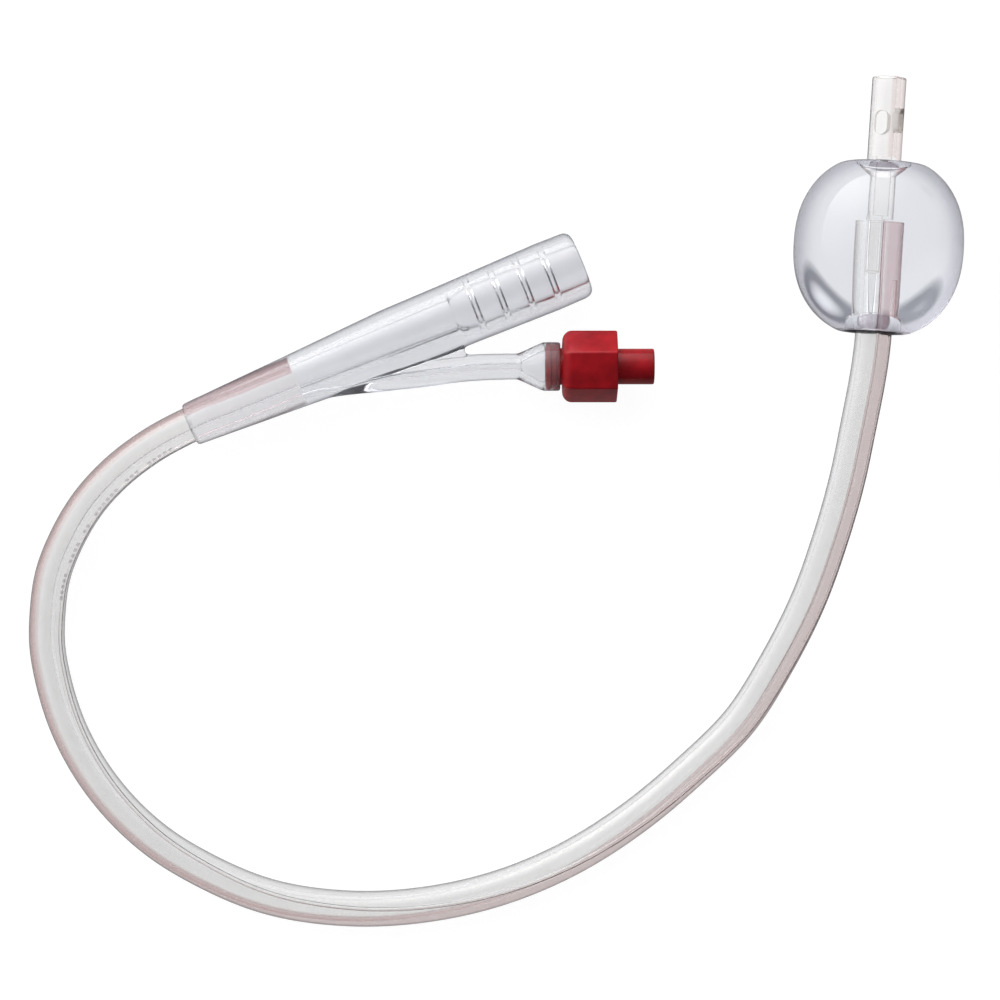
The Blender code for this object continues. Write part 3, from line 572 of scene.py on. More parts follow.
def add_range(nodes, links, source, low, high):
    step = nodes.new("ShaderNodeMapRange")
    step.inputs["To Min"].default_value = low
    step.inputs["To Max"].default_value = high
    links.new(source, step.inputs["Value"])
    return step.outputs["Result"]


def add_bump(nodes, links, shader, source, strength, depth):
    bump = nodes.new("ShaderNodeBump")
    bump.inputs["Strength"].default_value = strength
    bump.inputs["Distance"].default_value = depth
    links.new(source, bump.inputs["Height"])
    links.new(bump.outputs["Normal"], shader.inputs["Normal"])


def add_clouds(nodes, links, shader, tints, roughness, scale):
    """A tint and a finish that drift over the piece. Returns the tint."""
    clouds = add_noise(nodes, links, scale)
    finish = add_range(nodes, links, clouds, *roughness)
    links.new(finish, shader.inputs["Roughness"])
    return add_ramp(nodes, links, clouds, tuple(zip(CLOUD_STOPS, tints)))


def add_absorption(nodes, links, color, density):
    """Colour that deepens with the thickness that light passes through."""
    inside = nodes.new("ShaderNodeVolumeAbsorption")
    inside.inputs["Color"].default_value = (*color, 1.0)
    inside.inputs["Density"].default_value = density
    links.new(inside.outputs["Volume"], nodes["Material Output"].inputs["Volume"])


def add_tint(nodes, links, source, stops, below, color):
    """Multiplies the color below by another one, from none at the first stop to all of it at the second."""
    share = nodes.new("ShaderNodeMapRange")
    share.interpolation_type = "SMOOTHSTEP"
    share.inputs["From Min"].default_value, share.inputs["From Max"].default_value = stops
    links.new(source, share.inputs["Value"])
    mix = nodes.new("ShaderNodeMix")
    mix.data_type = "RGBA"
    mix.blend_type = "MULTIPLY"
    links.new(share.outputs["Result"], mix.inputs[0])
    links.new(below, mix.inputs[6])
    mix.inputs[7].default_value = (*color, 1.0)
    return mix.outputs[2]


def clear_material(
    name, tints, ior, transmission, roughness, ripple, edge=None, band=None, absorption=None
):
    """Clear silicone: a tint that drifts a little, a finish that varies, and faint ripples of moulding."""
    material, nodes, links, shader = new_material(name)
    color = add_clouds(nodes, links, shader, tints, roughness, CLOUD_SCALE)
    # Painted shade: the tint darkens where the surface turns away, for the dark rims of clear silicone.
    if edge:
        turned = nodes.new("ShaderNodeLayerWeight")
        color = add_tint(nodes, links, turned.outputs["Facing"], edge[:2], color, edge[2])
    if band:
        side = nodes.new("ShaderNodeAttribute")
        side.attribute_name = "outward"
        color = add_tint(nodes, links, side.outputs["Fac"], OUTWARD_BAND, color, band)
    links.new(color, shader.inputs["Base Color"])
    if absorption:
        add_absorption(nodes, links, *absorption)
    add_bump(nodes, links, shader, add_noise(nodes, links, RIPPLE_SCALE), ripple, RIPPLE_DEPTH)
    shader.inputs["IOR"].default_value = ior
    shader.inputs["Transmission Weight"].default_value = transmission
    return material


def solid_material(
    name, tints, roughness, ripple, scale=GRAIN_SCALE, metallic=0.0, specular=0.5
):
    """Plastic, rubber or metal: a tint that drifts a little, a finish that varies, and a fine grain."""
    material, nodes, links, shader = new_material(name)
    color = add_clouds(nodes, links, shader, tints, roughness, scale)
    links.new(color, shader.inputs["Base Color"])
    grain = add_noise(nodes, links, scale * GRAIN_SHARE)
    add_bump(nodes, links, shader, grain, ripple, GRAIN_DEPTH)
    shader.inputs["Metallic"].default_value = metallic
    shader.inputs["Specular IOR Level"].default_value = specular
    return material


# Meshes
def new_piece(name, mesh, materials, body="catheter"):
    piece = bpy.data.objects.new(name, mesh)
    if len(mesh.materials) < len(materials):
        for material in materials:
            mesh.materials.append(material)
    bpy.context.scene.collection.objects.link(piece)
    if body:
        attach(piece, body)
    return piece


def quarter_turn(steps):
    """Angles from none to a right angle."""
    return [math.pi / 2 * step / steps for step in range(steps + 1)]


def shaded(mesh):
    mesh.shade_smooth()
    mesh.set_sharp_from_angle(angle=SMOOTH_ANGLE)
    return mesh


def finished_mesh(shape, name):
    """The shape as a mesh, with its faces turned outwards."""
    bmesh.ops.recalc_face_normals(shape, faces=shape.faces)
    mesh = bpy.data.meshes.new(name)
    shape.to_mesh(mesh)
    shape.free()
    return mesh


def prism_mesh(name, outline, base, height, matrix, slot=0):
    """The (x, y) outline raised from its base height."""
    shape = bmesh.new()
    face = shape.faces.new([shape.verts.new((x, y, base)) for x, y in outline])
    raised = bmesh.ops.extrude_face_region(shape, geom=[face])["geom"]
    lifted = [corner for corner in raised if isinstance(corner, bmesh.types.BMVert)]
    bmesh.ops.translate(shape, verts=lifted, vec=(0.0, 0.0, height))
    for face in shape.faces:
        face.material_index = slot
    mesh = finished_mesh(shape, name)
    mesh.transform(matrix)
    return mesh


def rounded_end(x, radius, rounding, steps=EDGE_STEPS):
    """Outline points round the outer edge of a face at x."""
    arc = []
    for turn in quarter_turn(steps):
        inset = rounding * (1.0 - math.sin(turn))
        arc.append((x - inset, radius - rounding * (1.0 - math.cos(turn))))
    return arc


def turned_mesh(name, outline, matrix, slots=None):
    """Solid of revolution about X through (x, radius) points, with a material slot for each stretch."""
    closed = outline[0] == outline[-1]
    shape = bmesh.new()
    rings = []
    for x, radius in outline[:-1] if closed else outline:
        if radius == 0.0:
            rings.append([shape.verts.new((x, 0.0, 0.0))] * TURN_STEPS)
            continue
        ring = []
        for step in range(TURN_STEPS):
            turn = math.tau * step / TURN_STEPS
            ring.append(shape.verts.new((x, radius * math.sin(turn), radius * math.cos(turn))))
        rings.append(ring)
    if closed:
        rings.append(rings[0])
    for number, (ring, following) in enumerate(zip(rings, rings[1:])):
        for step in range(TURN_STEPS):
            after = (step + 1) % TURN_STEPS
            corners = [ring[step], ring[after], following[after], following[step]]
            face = shape.faces.new(list(dict.fromkeys(corners)))
            face.material_index = slots[number] if slots else 0
    mesh = finished_mesh(shape, name)
    mesh.transform(matrix)
    return shaded(mesh)


def swept_rings(shape, points, frames, radii, steps, offset=None):
    """Rings of corners round a path. The offset gives each ring's shift to its left and up."""
    rings = []
    for index, (point, (side, up)) in enumerate(zip(points, frames)):
        middle = point
        if offset:
            middle = point + side * offset[index][0] + up * offset[index][1]
        ring = []
        for step in range(steps):
            turn = math.tau * step / steps
            direction = side * math.cos(turn) + up * math.sin(turn)
            ring.append(shape.verts.new(middle + direction * radii[index]))
        rings.append(ring)
    return rings


def join_rings(shape, rings, slots=None):
    for number, (ring, following) in enumerate(zip(rings, rings[1:])):
        for step in range(len(ring)):
            after = (step + 1) % len(ring)
            face = shape.faces.new((ring[step], ring[after], following[after], following[step]))
            face.material_index = slots[number] if slots else 0


def bar_mesh(name, points, radii, steps, slot=0):
    """Solid round bar along a path."""
    shape = bmesh.new()
    rings = swept_rings(shape, points, sections(points), radii, steps)
    join_rings(shape, rings)
    shape.faces.new(rings[0])
    shape.faces.new(rings[-1])
    for face in shape.faces:
        face.material_index = slot
    return shaded(finished_mesh(shape, name))


def carved(name, mesh, helpers, materials=()):
    """The mesh after its helpers are joined to it or cut from it, with each one's slots kept.

    Helpers are (mesh, operation) pairs.
    """
    guide = bpy.data.objects.new(name, mesh)
    for material in materials:
        mesh.materials.append(material)
    bpy.context.scene.collection.objects.link(guide)
    used = [guide]
    for helper, operation in helpers:
        tool = bpy.data.objects.new(helper.name, helper)
        for material in materials:
            helper.materials.append(material)
        bpy.context.scene.collection.objects.link(tool)
        used.append(tool)
        step = guide.modifiers.new(helper.name, "BOOLEAN")
        step.operation = operation
        step.solver = "EXACT"
        step.object = tool
    graph = bpy.context.evaluated_depsgraph_get()
    result = bpy.data.meshes.new_from_object(guide.evaluated_get(graph))
    for old in used:
        bpy.data.objects.remove(old, do_unlink=True)
    return shaded(result)


def remeshed(mesh):
    """The mesh as one soft skin, with its joins blended."""
    guide = bpy.data.objects.new(mesh.name, mesh)
    bpy.context.scene.collection.objects.link(guide)
    step = guide.modifiers.new("skin", "REMESH")
    step.mode = "VOXEL"
    step.voxel_size = VOXEL
    soften = guide.modifiers.new("soften", "SMOOTH")
    soften.factor = SMOOTHING_FACTOR
    soften.iterations = SMOOTHING_STEPS
    graph = bpy.context.evaluated_depsgraph_get()
    result = bpy.data.meshes.new_from_object(guide.evaluated_get(graph))
    bpy.data.objects.remove(guide, do_unlink=True)
    return shaded(result)


# Tube
def shaft_mesh(points, distances):
    """The extrusion with its two lumens, which turn by half a turn from the socket to the balloon."""
    frames = sections(points)
    in_water = distances[-1] - IN_WATER_FROM
    in_cuff = distances[-1] - IN_CUFF_FROM
    radii = [SHAFT_DIAMETER / 2] * len(points)
    twist_start = SOCKET_DEPTH
    twist_end = distances[-1] - (SHAFT_END_AT - SHAFT_STRAIGHT_FROM)
    turned = [eased((distance - twist_start) / (twist_end - twist_start)) for distance in distances]
    drainage = []
    inflation = []
    for share in turned:
        twist = math.pi * share
        across = Vector((math.cos(twist), math.sin(twist)))
        drainage.append(across * -DRAINAGE_LUMEN_OFFSET)
        inflation.append(across * INFLATION_LUMEN_OFFSET)
    shape = bmesh.new()
    outer = swept_rings(shape, points, frames, radii, OUTER_STEPS)
    outer_slots = []
    for middle in (distances[:-1] + distances[1:]) / 2:
        bonded = middle < IN_SOCKET_UNTIL or in_cuff < middle
        dry = TUBE_BONDED if bonded else TUBE_IN_AIR
        outer_slots.append(TUBE_IN_WATER if middle > in_water else dry)
    join_rings(shape, outer, outer_slots)
    wide = [DRAINAGE_LUMEN_DIAMETER / 2] * len(points)
    lumen = swept_rings(shape, points, frames, wide, LUMEN_STEPS, drainage)
    lumen_slots = [TUBE_LUMEN] * len(points)
    join_rings(shape, lumen, lumen_slots)
    plug = distances[-1] - (SHAFT_END_AT - INFLATION_PLUG_AT)
    count = sum(1 for distance in distances if distance < plug)
    narrow = [INFLATION_LUMEN_DIAMETER / 2] * count
    fine = swept_rings(shape, points[:count], frames[:count], narrow, FINE_STEPS, inflation)
    join_rings(shape, fine, lumen_slots)
    end = shape.faces.new(fine[-1])
    end.material_index = TUBE_LUMEN
    for ends in ((outer[0], lumen[0], fine[0]), (outer[-1], lumen[-1])):
        edges = []
        for ring in ends:
            for corner, after in zip(ring, ring[1:] + ring[:1]):
                edges.append(shape.edges.get((corner, after)))
        bmesh.ops.triangle_fill(shape, use_beauty=True, edges=edges)
    mesh = finished_mesh(shape, "shaft_tube")
    outward = mesh.attributes.new("outward", "FLOAT", "POINT")
    for index in range(len(points) * OUTER_STEPS):
        ring, step = divmod(index, OUTER_STEPS)
        turn = BAND_TURN * turned[ring]
        outward.data[index].value = -math.cos(math.tau * step / OUTER_STEPS + turn)
    return shaded(mesh)


def make_shaft(materials):
    points, distances = shaft_path()
    mesh = shaft_mesh(points, distances)
    shaft = new_piece("shaft_tube", mesh, materials)
    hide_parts("shaft")
    return points, distances


def mark_line(shape, points, frames, distances, place):
    """Corners across the line of print at one place along the tube."""
    radius = SHAFT_DIAMETER / 2 + PRINT_RAISED
    index = int(np.searchsorted(distances, place)) - 1
    blend = (place - distances[index]) / (distances[index + 1] - distances[index])
    middle = points[index].lerp(points[index + 1], blend)
    side, up = frames[index]
    line = []
    for step in range(MARK_STEPS + 1):
        turn = PRINT_TURN + PRINT_LINE_WIDTH / radius * (step / MARK_STEPS - 0.5)
        direction = side * math.cos(turn) + up * math.sin(turn)
        line.append(shape.verts.new(middle + direction * radius))
    return line


def make_print(points, distances, materials):
    """Short plain marks in groups, in place of the printed line."""
    frames = sections(points)
    shape = bmesh.new()
    distance = SOCKET_DEPTH + PRINT_START
    word = 0
    while distance < SOCKET_DEPTH + PRINT_END:
        for _ in range(WORD_LENGTHS[word % len(WORD_LENGTHS)]):
            places = [distance + MARK_LENGTH * share for share in (0.0, 0.5, 1.0)]
            strip = [mark_line(shape, points, frames, distances, place) for place in places]
            for line, following in zip(strip, strip[1:]):
                for step in range(MARK_STEPS):
                    corners = (line[step], line[step + 1], following[step + 1], following[step])
                    shape.faces.new(corners)
            distance += MARK_LENGTH + MARK_GAP
        distance += WORD_GAP
        word += 1
    mesh = shaded(finished_mesh(shape, "print_marks"))
    new_piece("print_marks", mesh, materials)


# Y moulding
def funnel_outline():
    start = SHAFT_DIAMETER / 2 + CUP_FIT + SOCKET_LIP_WALL
    mouth = MOUTH_DIAMETER / 2 + MOUTH_WALL - MOUTH_DRAW
    outline = [(0.0, 0.0), (0.0, start)]
    outline.append((SOCKET_DEPTH, SHAFT_DIAMETER / 2 + CUP_FIT + SOCKET_END_WALL))
    outline.append((FUNNEL_SHOULDER_AT, BORE_DIAMETER / 2 + BORE_WALL))
    outline.append((BORE_STEP_AT, BORE_DIAMETER / 2 + BORE_STEP_WALL))
    outline.append((WIDEST_AT, MOUTH_DIAMETER / 2 + MOUTH_WALL))
    outline += rounded_end(FUNNEL_LENGTH, mouth, MOUTH_ROUNDING, MOUTH_STEPS)
    outline.append((FUNNEL_LENGTH, 0.0))
    return outline


def bore_outline():
    length = FUNNEL_LENGTH - SOCKET_DEPTH
    step_at = BORE_STEP_AT - SOCKET_DEPTH
    mouth = MOUTH_DIAMETER / 2
    outline = [(-OVERCUT, 0.0), (-OVERCUT, THROAT_DIAMETER / 2), (step_at, BORE_DIAMETER / 2)]
    outline.append((step_at + BORE_STEP_LENGTH, BORE_STEP_DIAMETER / 2))
    for ring in range(RING_COUNT):
        middle = length - LAST_RING_BEFORE_MOUTH - RING_PITCH * (RING_COUNT - 1 - ring)
        outline.append((middle - RING_BASE_WIDTH / 2, mouth))
        outline.append((middle - RING_TOP_WIDTH / 2, mouth - RING_HEIGHT))
        outline.append((middle + RING_TOP_WIDTH / 2, mouth - RING_HEIGHT))
        outline.append((middle + RING_BASE_WIDTH / 2, mouth))
    outline += [(length + OVERCUT, mouth), (length + OVERCUT, 0.0)]
    return outline


def web_mesh():
    outline = [(WEB_START_AT, WEB_INNER_SIDE), (WEB_END_AT, WEB_INNER_SIDE)]
    outline += [(WEB_END_AT, ARM_ROUTE[-1][1]), ARM_ROUTE[2]]
    return prism_mesh("web", outline, -WEB_THICKNESS / 2, WEB_THICKNESS, placed(FUNNEL_START))


def make_y_moulding(materials):
    """The funnel, arm, cup and web as one skin, with the socket, bores and channel cut from it."""
    body = turned_mesh("funnel", funnel_outline(), placed(FUNNEL_START))
    knots = [along_funnel(distance, aside) for distance, aside in ARM_ROUTE]
    knots += [along_valve(CUP_START_AT), along_valve(CUP_START_AT + CUP_FLOOR)]
    line = smooth_path(knots, RING_SPACING)[0]
    last = len(line) - 1
    narrowing = ARM_NECK_DIAMETER - ARM_ROOT_DIAMETER
    radii = [(ARM_ROOT_DIAMETER + narrowing * index / last) / 2 for index in range(last + 1)]
    arm = bar_mesh("arm", line, radii, LUMEN_STEPS)

    cup_radius = CUP_BORE_RADIUS + CUP_WALL
    rim = CUP_START_AT + CUP_LENGTH
    cone_end = CUP_START_AT + CUP_CONE_LENGTH
    outline = [(CUP_START_AT, 0.0), (CUP_START_AT, ARM_NECK_DIAMETER / 2 - CUP_CONE_INSET)]
    outline += [(cone_end, cup_radius), (rim, cup_radius), (rim, 0.0)]
    cup = turned_mesh("cup", outline, placed(VALVE_ORIGIN, VALVE_ANGLE))
    joined = [(helper, "UNION") for helper in (arm, cup, web_mesh())]
    whole = carved("y_moulding", body, joined)
    skin = remeshed(whole)

    socket_radius = SHAFT_DIAMETER / 2 + SOCKET_FIT
    outline = [(-OVERCUT, 0.0), (-OVERCUT, socket_radius)]
    outline += [(SOCKET_DEPTH, socket_radius), (SOCKET_DEPTH, 0.0)]
    slots = [MOULD_BONDED, MOULD_BONDED, MOULD_BORE]
    socket = turned_mesh("socket", outline, placed(FUNNEL_START), slots)
    lean = -math.atan2(DRAINAGE_LUMEN_OFFSET, FUNNEL_LENGTH - SOCKET_DEPTH)
    start = along_funnel(SOCKET_DEPTH, DRAINAGE_LUMEN_OFFSET)
    outline = bore_outline()
    slots = [MOULD_BORE] * (len(outline) - 1)
    bore = turned_mesh("bore", outline, placed(start, lean), slots)

    start = along_funnel(SOCKET_DEPTH - OVERCUT, -INFLATION_LUMEN_OFFSET)
    bends = [along_funnel(distance, aside) for distance, aside in CHANNEL_BENDS]
    arm_knots = [along_funnel(distance, aside) for distance, aside in ARM_ROUTE[2:]]
    cup_knots = [along_valve(CUP_START_AT), along_valve(CUP_START_AT + CUP_FLOOR + OVERCUT)]
    line = smooth_path([start, *bends, *arm_knots, *cup_knots], RING_SPACING)[0]
    radii = [CHANNEL_DIAMETER / 2] * len(line)
    channel = bar_mesh("channel", line, radii, FINE_STEPS, MOULD_BORE)

    inlet = CUP_START_AT + CUP_FLOOR
    bore_start = -SPIGOT_LENGTH - CUP_FIT
    outline = [(inlet, 0.0), (inlet, CUP_INLET_DIAMETER / 2), (bore_start, CUP_BORE_RADIUS)]
    outline += [(OVERCUT, CUP_BORE_RADIUS), (OVERCUT, 0.0)]
    slots = [MOULD_BORE, MOULD_BORE, MOULD_BONDED, MOULD_BONDED]
    cavity = turned_mesh("cavity", outline, placed(VALVE_ORIGIN, VALVE_ANGLE), slots)
    cuts = [(cutter, "DIFFERENCE") for cutter in (socket, bore, channel, cavity)]
    mesh = carved("y_moulding", skin, cuts, materials)
    moulding = new_piece("y_moulding", mesh, materials)
    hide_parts("y_funnel")


# Valve
def hexagon_section(circumradius, rounding):
    """Points (across, up) of a hexagon with round corners."""
    reach = circumradius - rounding / math.cos(math.pi / 6)
    section = []
    for corner in range(6):
        middle = HEX_ROLL + math.tau * corner / 6
        for step in range(EDGE_STEPS + 1):
            turn = middle + math.pi / 3 * (step / EDGE_STEPS - 0.5)
            across = reach * math.sin(middle) + rounding * math.sin(turn)
            section.append((across, reach * math.cos(middle) + rounding * math.cos(turn)))
    return section


def hexagon_mesh(name):
    """The valve's hexagonal body, with a round shoulder at its inner face."""
    stations = []
    for turn in quarter_turn(SHOULDER_STEPS):
        share = HEX_SHOULDER_SHARE + (1.0 - HEX_SHOULDER_SHARE) * math.sin(turn)
        stations.append((HEX_SHOULDER * (1.0 - math.cos(turn)), share))
    for turn in quarter_turn(EDGE_STEPS):
        share = 1.0 - HEX_END_ROUNDING / HEX_CIRCUMRADIUS * (1.0 - math.cos(turn))
        stations.append((HEX_LENGTH - HEX_END_ROUNDING * (1.0 - math.sin(turn)), share))
    section = hexagon_section(HEX_CIRCUMRADIUS, HEX_CORNER_ROUNDING)
    shape = bmesh.new()
    rings = []
    for x, share in stations:
        rings.append([shape.verts.new((x, y * share, z * share)) for y, z in section])
    join_rings(shape, rings)
    shape.faces.new(rings[0])
    shape.faces.new(rings[-1])
    mesh = finished_mesh(shape, name)
    mesh.transform(placed(VALVE_ORIGIN, VALVE_ANGLE))
    return shaded(mesh)


def make_valve(materials):
    spigot = SPIGOT_DIAMETER / 2
    nub = NUB_DIAMETER / 2
    middle = HEX_LENGTH / 2
    outline = [(-SPIGOT_LENGTH, 0.0)]
    pitch = SPIGOT_LENGTH / BARB_COUNT
    for barb in range(BARB_COUNT):
        start = -SPIGOT_LENGTH + pitch * barb
        outline += [(start, spigot - BARB_DEPTH), (start + pitch * BARB_RISE, spigot)]
    outline += [(0.0, spigot), (middle, spigot), (middle, nub)]
    outline += [*rounded_end(PORT_END_AT, nub, NUB_ROUNDING), (PORT_END_AT, 0.0)]
    place = placed(VALVE_ORIGIN, VALVE_ANGLE)
    core = turned_mesh("valve_core", outline, place)

    mouth = LUER_DIAMETER / 2
    port = mouth - LUER_TAPER / 2 * LUER_DEPTH
    hole = SEAT_HOLE_DIAMETER / 2
    chamber = CHAMBER_DIAMETER / 2
    outline = [(-SPIGOT_LENGTH - OVERCUT, 0.0), (-SPIGOT_LENGTH - OVERCUT, chamber)]
    outline += [(SEAT_INNER_AT, chamber), (SEAT_INNER_AT, hole)]
    outline += [(SEAT_OUTER_AT, hole), (SEAT_OUTER_AT, port), (PORT_END_AT, mouth)]
    outline += [(PORT_END_AT + OVERCUT, mouth), (PORT_END_AT + OVERCUT, 0.0)]
    bore = turned_mesh("valve_bore", outline, place)
    hexagon = hexagon_mesh("valve_housing")
    mesh = carved("valve_housing", hexagon, ((core, "UNION"), (bore, "DIFFERENCE")))
    valve = new_piece("valve_housing", mesh, materials)
    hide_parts("valve_body")


# Balloon
def half_length_at(radius):
    """How far from the balloon's middle its side has drawn in to a radius."""
    share = 1.0 - (radius / (BALLOON_DIAMETER / 2)) ** BALLOON_FULLNESS
    return BALLOON_HALF_LENGTH * share ** (1.0 / BALLOON_FULLNESS)


def dimple(lip, before, floor, outward):
    """Points from the lip of the balloon's end round into its dimple and down to the floor."""
    lip_handle = lip + (lip - before).normalized() * LIP_REACH
    floor_handle = floor + Vector((outward * GROOVE_REACH, GROOVE_OPENING))
    return interpolate_bezier(lip, lip_handle, floor_handle, floor, CURVE_STEPS)[1:]


def balloon_side(low_radius, high_radius):
    """(x, radius) points of the sleeve's outer side, from one dimple's floor to the other's."""
    low_end = -math.asin(half_length_at(LOW_LIP_RADIUS) / BALLOON_HALF_LENGTH)
    high_end = math.asin(half_length_at(HIGH_LIP_RADIUS) / BALLOON_HALF_LENGTH)
    side = []
    for turn in np.linspace(low_end, high_end, BALLOON_STATIONS * 2 + 1):
        share = abs(math.sin(turn))
        radius = BALLOON_DIAMETER / 2 * (1.0 - share ** BALLOON_FULLNESS) ** (1.0 / BALLOON_FULLNESS)
        side.append(Vector((BALLOON_HALF_LENGTH * math.sin(turn), radius)))
    low = dimple(side[0], side[1], Vector((-LOW_DIMPLE_AT, low_radius)), -1.0)
    high = dimple(side[-1], side[-2], Vector((HIGH_DIMPLE_AT, high_radius)), 1.0)
    return [*reversed(low), *side, *high]


def inset(side, distance):
    """The side moved inwards, square to itself."""
    moved = []
    for index, point in enumerate(side):
        ahead = side[min(index + 1, len(side) - 1)] - side[max(index - 1, 0)]
        moved.append(point + Vector((ahead.y, -ahead.x)).normalized() * distance)
    return moved


def make_balloon(materials):
    """The sleeve round the water, with its cuffs on the shaft and the tip."""
    low = SHAFT_DIAMETER / 2 + CUFF_FIT
    high = TIP_HEAD_DIAMETER / 2 + CUFF_FIT
    outer = balloon_side(low + CUFF_WALL, high + CUFF_WALL)
    inner = [(BALLOON_WALL - LOW_DIMPLE_AT, low), *inset(outer, BALLOON_WALL)]
    inner.append((HIGH_DIMPLE_AT - BALLOON_WALL, high))
    low_end = -LOW_DIMPLE_AT - CUFF_LENGTH
    high_end = HIGH_DIMPLE_AT + CUFF_LENGTH
    outline = [(low_end, low + CUFF_WALL), *outer, (high_end, high + CUFF_WALL), (high_end, high)]
    outline += [*reversed(inner), (low_end, low), (low_end, low + CUFF_WALL)]
    # The dimples take the darker material: painted shade where the sleeve folds in.
    painted_fold_shade = [SKIN_PAINTED_FOLD_SHADE] * CURVE_STEPS
    slots = painted_fold_shade + [SKIN_IN_AIR] * (BALLOON_STATIONS * 2) + painted_fold_shade + [SKIN_IN_AIR, SKIN_BONDED]
    slots += [SKIN_IN_WATER] * (len(inner) - 1) + [SKIN_BONDED, SKIN_IN_AIR]
    mesh = turned_mesh("balloon_skin", outline, placed(BALLOON_CENTRE, TIP_ANGLE), slots)
    balloon = new_piece("balloon_skin", mesh, materials)
    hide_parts("balloon", "balloon_water")


# Tip
def eye_mesh(name, distance, turn):
    """Cutter with round ends for one drainage eye."""
    radius = EYE_WIDTH / 2
    shift = EYE_LENGTH / 2 - radius
    outline = []
    for end in (1.0, -1.0):
        for step in range(EYE_END_STEPS + 1):
            angle = math.pi * (step / EYE_END_STEPS - 0.5)
            along = end * (shift + radius * math.cos(angle))
            outline.append((along, end * radius * math.sin(angle)))
    matrix = placed(along_tip(distance), TIP_ANGLE) @ Matrix.Rotation(-turn, 4, "X")
    return prism_mesh(name, outline, OVERCUT, TIP_HEAD_DIAMETER / 2, matrix, TUBE_EYE)


def bar_between(name, start, end, diameter, matrix, slot):
    """Straight round bar along X."""
    radius = diameter / 2
    outline = [(start, 0.0), (start, radius), (end, radius), (end, 0.0)]
    return turned_mesh(name, outline, matrix, [slot] * 3)


def make_tip(materials):
    """The end tube: its head, the neck in the balloon and the spigot in the shaft, with their bores."""
    neck_start = SHAFT_END_AT + SEAT_GAP
    neck = TIP_NECK_DIAMETER / 2
    head = TIP_HEAD_DIAMETER / 2
    water_end = HIGH_DIMPLE_AT - BALLOON_WALL
    outline = [(neck_start, 0.0), (neck_start, neck), (TIP_HEAD_AT - TIP_HEAD_CONE, neck)]
    outline += [(TIP_HEAD_AT, head), (water_end, head), (water_end + CUFF_LENGTH, head)]
    outline += rounded_end(TIP_END_AT, head, TIP_END_ROUNDING)
    outline.append((TIP_END_AT, 0.0))
    slots = [TUBE_IN_WATER] * 4 + [TUBE_BONDED] + [TUBE_IN_AIR] * 3 + [TUBE_BONDED] * 3
    axis = placed(BALLOON_CENTRE, TIP_ANGLE)
    body = turned_mesh("tip_tube", outline, axis, slots)

    start = SHAFT_END_AT - TIP_SPIGOT_LENGTH
    end = neck_start + OVERCUT
    aside = placed(along_tip(0.0, DRAINAGE_LUMEN_OFFSET), TIP_ANGLE)
    helpers = [(bar_between("spigot", start, end, TIP_SPIGOT_DIAMETER, aside, TUBE_BONDED), "UNION")]
    place = placed(along_tip(0.0, TIP_BORE_OFFSET), TIP_ANGLE)
    bore_end = TIP_BORE_AT + OVERCUT
    tip_end = TIP_END_AT + OVERCUT
    bores = (
        ("spigot_bore", start - OVERCUT, end + OVERCUT, TIP_SPIGOT_BORE_DIAMETER, aside, TUBE_BONDED),
        ("neck_bore", end, bore_end, TIP_NECK_BORE_DIAMETER, axis, TUBE_BONDED),
        ("head_bore", TIP_BORE_AT, tip_end, TIP_BORE_DIAMETER, place, TUBE_LUMEN),
    )
    helpers += [(bar_between(*bore), "DIFFERENCE") for bore in bores]
    for number, (distance, turn) in enumerate(DRAINAGE_EYES, start=1):
        helpers.append((eye_mesh(f"eye_{number}", distance, turn), "DIFFERENCE"))
    mesh = carved("tip_tube", body, helpers, materials)
    outward = mesh.attributes.new("outward", "FLOAT", "POINT")
    for index, corner in enumerate(mesh.vertices):
        outward.data[index].value = (BALLOON_CENTRE - corner.co).dot(TIP_SIDE) / head
    tip = new_piece("tip_tube", mesh, materials)
    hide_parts("tip")


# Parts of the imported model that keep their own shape
def dress_inner_parts(finishes):
    for name, finish in INNER_FINISHES.items():
        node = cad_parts[name]
        node.data.materials.clear()
        node.data.materials.append(finishes[finish])


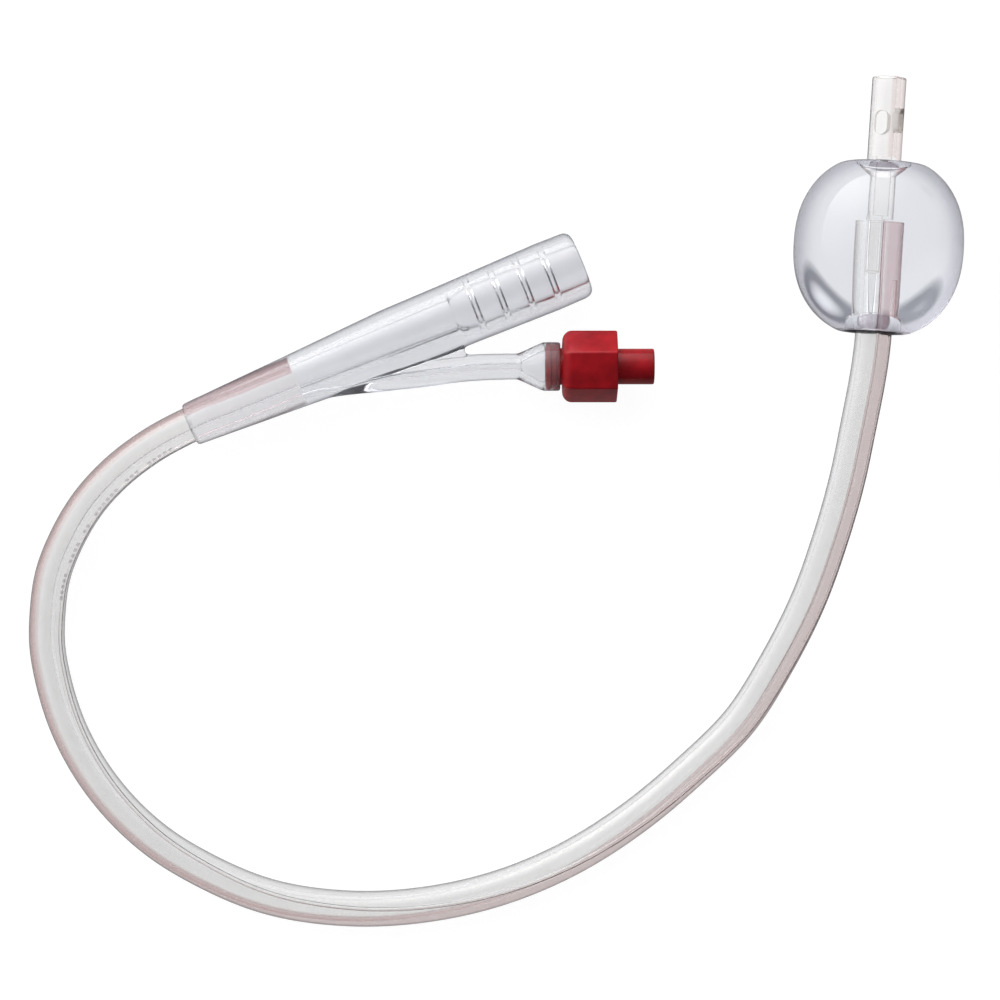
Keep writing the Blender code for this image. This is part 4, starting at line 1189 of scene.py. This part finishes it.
# Stage
def add_floor():
    """A white glowing floor, with a dark line of painted shadow under the balloon and a ring of painted
    light round it, which the balloon's water magnifies.
    """
    shape = bmesh.new()
    bmesh.ops.create_grid(shape, x_segments=1, y_segments=1, size=FLOOR_HALF_SIZE)
    mesh = bpy.data.meshes.new("floor")
    shape.to_mesh(mesh)
    shape.free()
    material, nodes, links, shader = new_material("floor")
    shader.inputs["Base Color"].default_value = (*FLOOR_COLOR, 1.0)
    shader.inputs["Roughness"].default_value = FLOOR_ROUGHNESS
    shader.inputs["Specular IOR Level"].default_value = 0.0
    place = nodes.new("ShaderNodeTexCoord")
    oval = nodes.new("ShaderNodeMapping")
    oval.vector_type = "TEXTURE"
    oval.inputs["Location"].default_value = PAINTED_SHADOW_AND_LIGHT_CENTRE
    oval.inputs["Rotation"].default_value = (0.0, 0.0, TIP_ANGLE)
    oval.inputs["Scale"].default_value = PAINTED_SHADOW_AND_LIGHT_REACH
    links.new(place.outputs["Object"], oval.inputs["Vector"])
    reach = nodes.new("ShaderNodeVectorMath")
    reach.operation = "LENGTH"
    links.new(oval.outputs["Vector"], reach.inputs[0])
    share = nodes.new("ShaderNodeMapRange")
    share.inputs["From Min"].default_value, share.inputs["From Max"].default_value = PAINTED_SHADOW_AND_LIGHT_SHARES
    links.new(reach.outputs["Value"], share.inputs["Value"])
    # The painted shadow and painted light colour the floor's glow under the balloon.
    painted_shadow_and_light = add_ramp(nodes, links, share.outputs["Result"], PAINTED_SHADOW_AND_LIGHT_STOPS)
    links.new(painted_shadow_and_light, shader.inputs["Emission Color"])
    path = nodes.new("ShaderNodeLightPath")
    mirrored = nodes.new("ShaderNodeMath")
    mirrored.operation = "SUBTRACT"
    links.new(path.outputs["Is Glossy Ray"], mirrored.inputs[0])
    links.new(path.outputs["Is Transmission Ray"], mirrored.inputs[1])
    lighting = nodes.new("ShaderNodeMath")
    lighting.operation = "MAXIMUM"
    links.new(path.outputs["Is Diffuse Ray"], lighting.inputs[0])
    links.new(mirrored.outputs["Value"], lighting.inputs[1])
    glow = add_range(nodes, links, lighting.outputs["Value"], FLOOR_GLOW, FLOOR_GLOW_AS_LIGHT)
    links.new(glow, shader.inputs["Emission Strength"])
    new_piece("floor", mesh, (material,), body=None)


def add_sky():
    """A dim studio with one broad soft light, low beyond the funnel."""
    world = bpy.data.worlds.new("studio")
    world.use_nodes = True
    nodes = world.node_tree.nodes
    links = world.node_tree.links
    leftwards, upwards, off_floor = SKY_LIGHT_FROM
    up = Vector((math.sin(-CAMERA_TURN), math.cos(-CAMERA_TURN), 0.0))
    left = Vector((-up.y, up.x, 0.0))
    towards = (left * leftwards + up * upwards + Vector((0.0, 0.0, off_floor))).normalized()
    place = nodes.new("ShaderNodeTexCoord")
    facing = nodes.new("ShaderNodeVectorMath")
    facing.operation = "DOT_PRODUCT"
    facing.inputs[1].default_value = towards
    links.new(place.outputs["Generated"], facing.inputs[0])
    share = nodes.new("ShaderNodeMapRange")
    share.inputs["From Min"].default_value = -1.0
    links.new(facing.outputs["Value"], share.inputs["Value"])
    color = add_ramp(nodes, links, share.outputs["Result"], SKY)
    links.new(color, nodes["Background"].inputs["Color"])
    nodes["Background"].inputs["Strength"].default_value = SKY_STRENGTH
    bpy.context.scene.world = world


def set_light_paths():
    scene = bpy.context.scene
    scene.view_settings.view_transform = "Standard"
    scene.cycles.transmission_bounces = LIGHT_BOUNCES
    scene.cycles.max_bounces = LIGHT_BOUNCES
    scene.cycles.transparent_max_bounces = TRANSPARENT_BOUNCES
    scene.cycles.caustics_reflective = False
    scene.cycles.caustics_refractive = True


def build():
    add_camera()
    finishes = {}
    for name, values in CLEAR_MATERIALS.items():
        finishes[name] = clear_material(name, **values)
    for name, values in SOLID_MATERIALS.items():
        finishes[name] = solid_material(name, **values)

    def chosen(names):
        return [finishes[name] for name in names]

    points, distances = make_shaft(chosen(TUBE_SLOTS))
    make_print(points, distances, chosen(("print_ink",)))
    make_tip(chosen(TIP_SLOTS))
    make_balloon(chosen(BALLOON_SLOTS))
    make_y_moulding(chosen(MOULDING_SLOTS))
    make_valve(chosen(("red_plastic",)))
    dress_inner_parts(finishes)
    add_floor()
    add_sky()
    set_light_paths()


build()
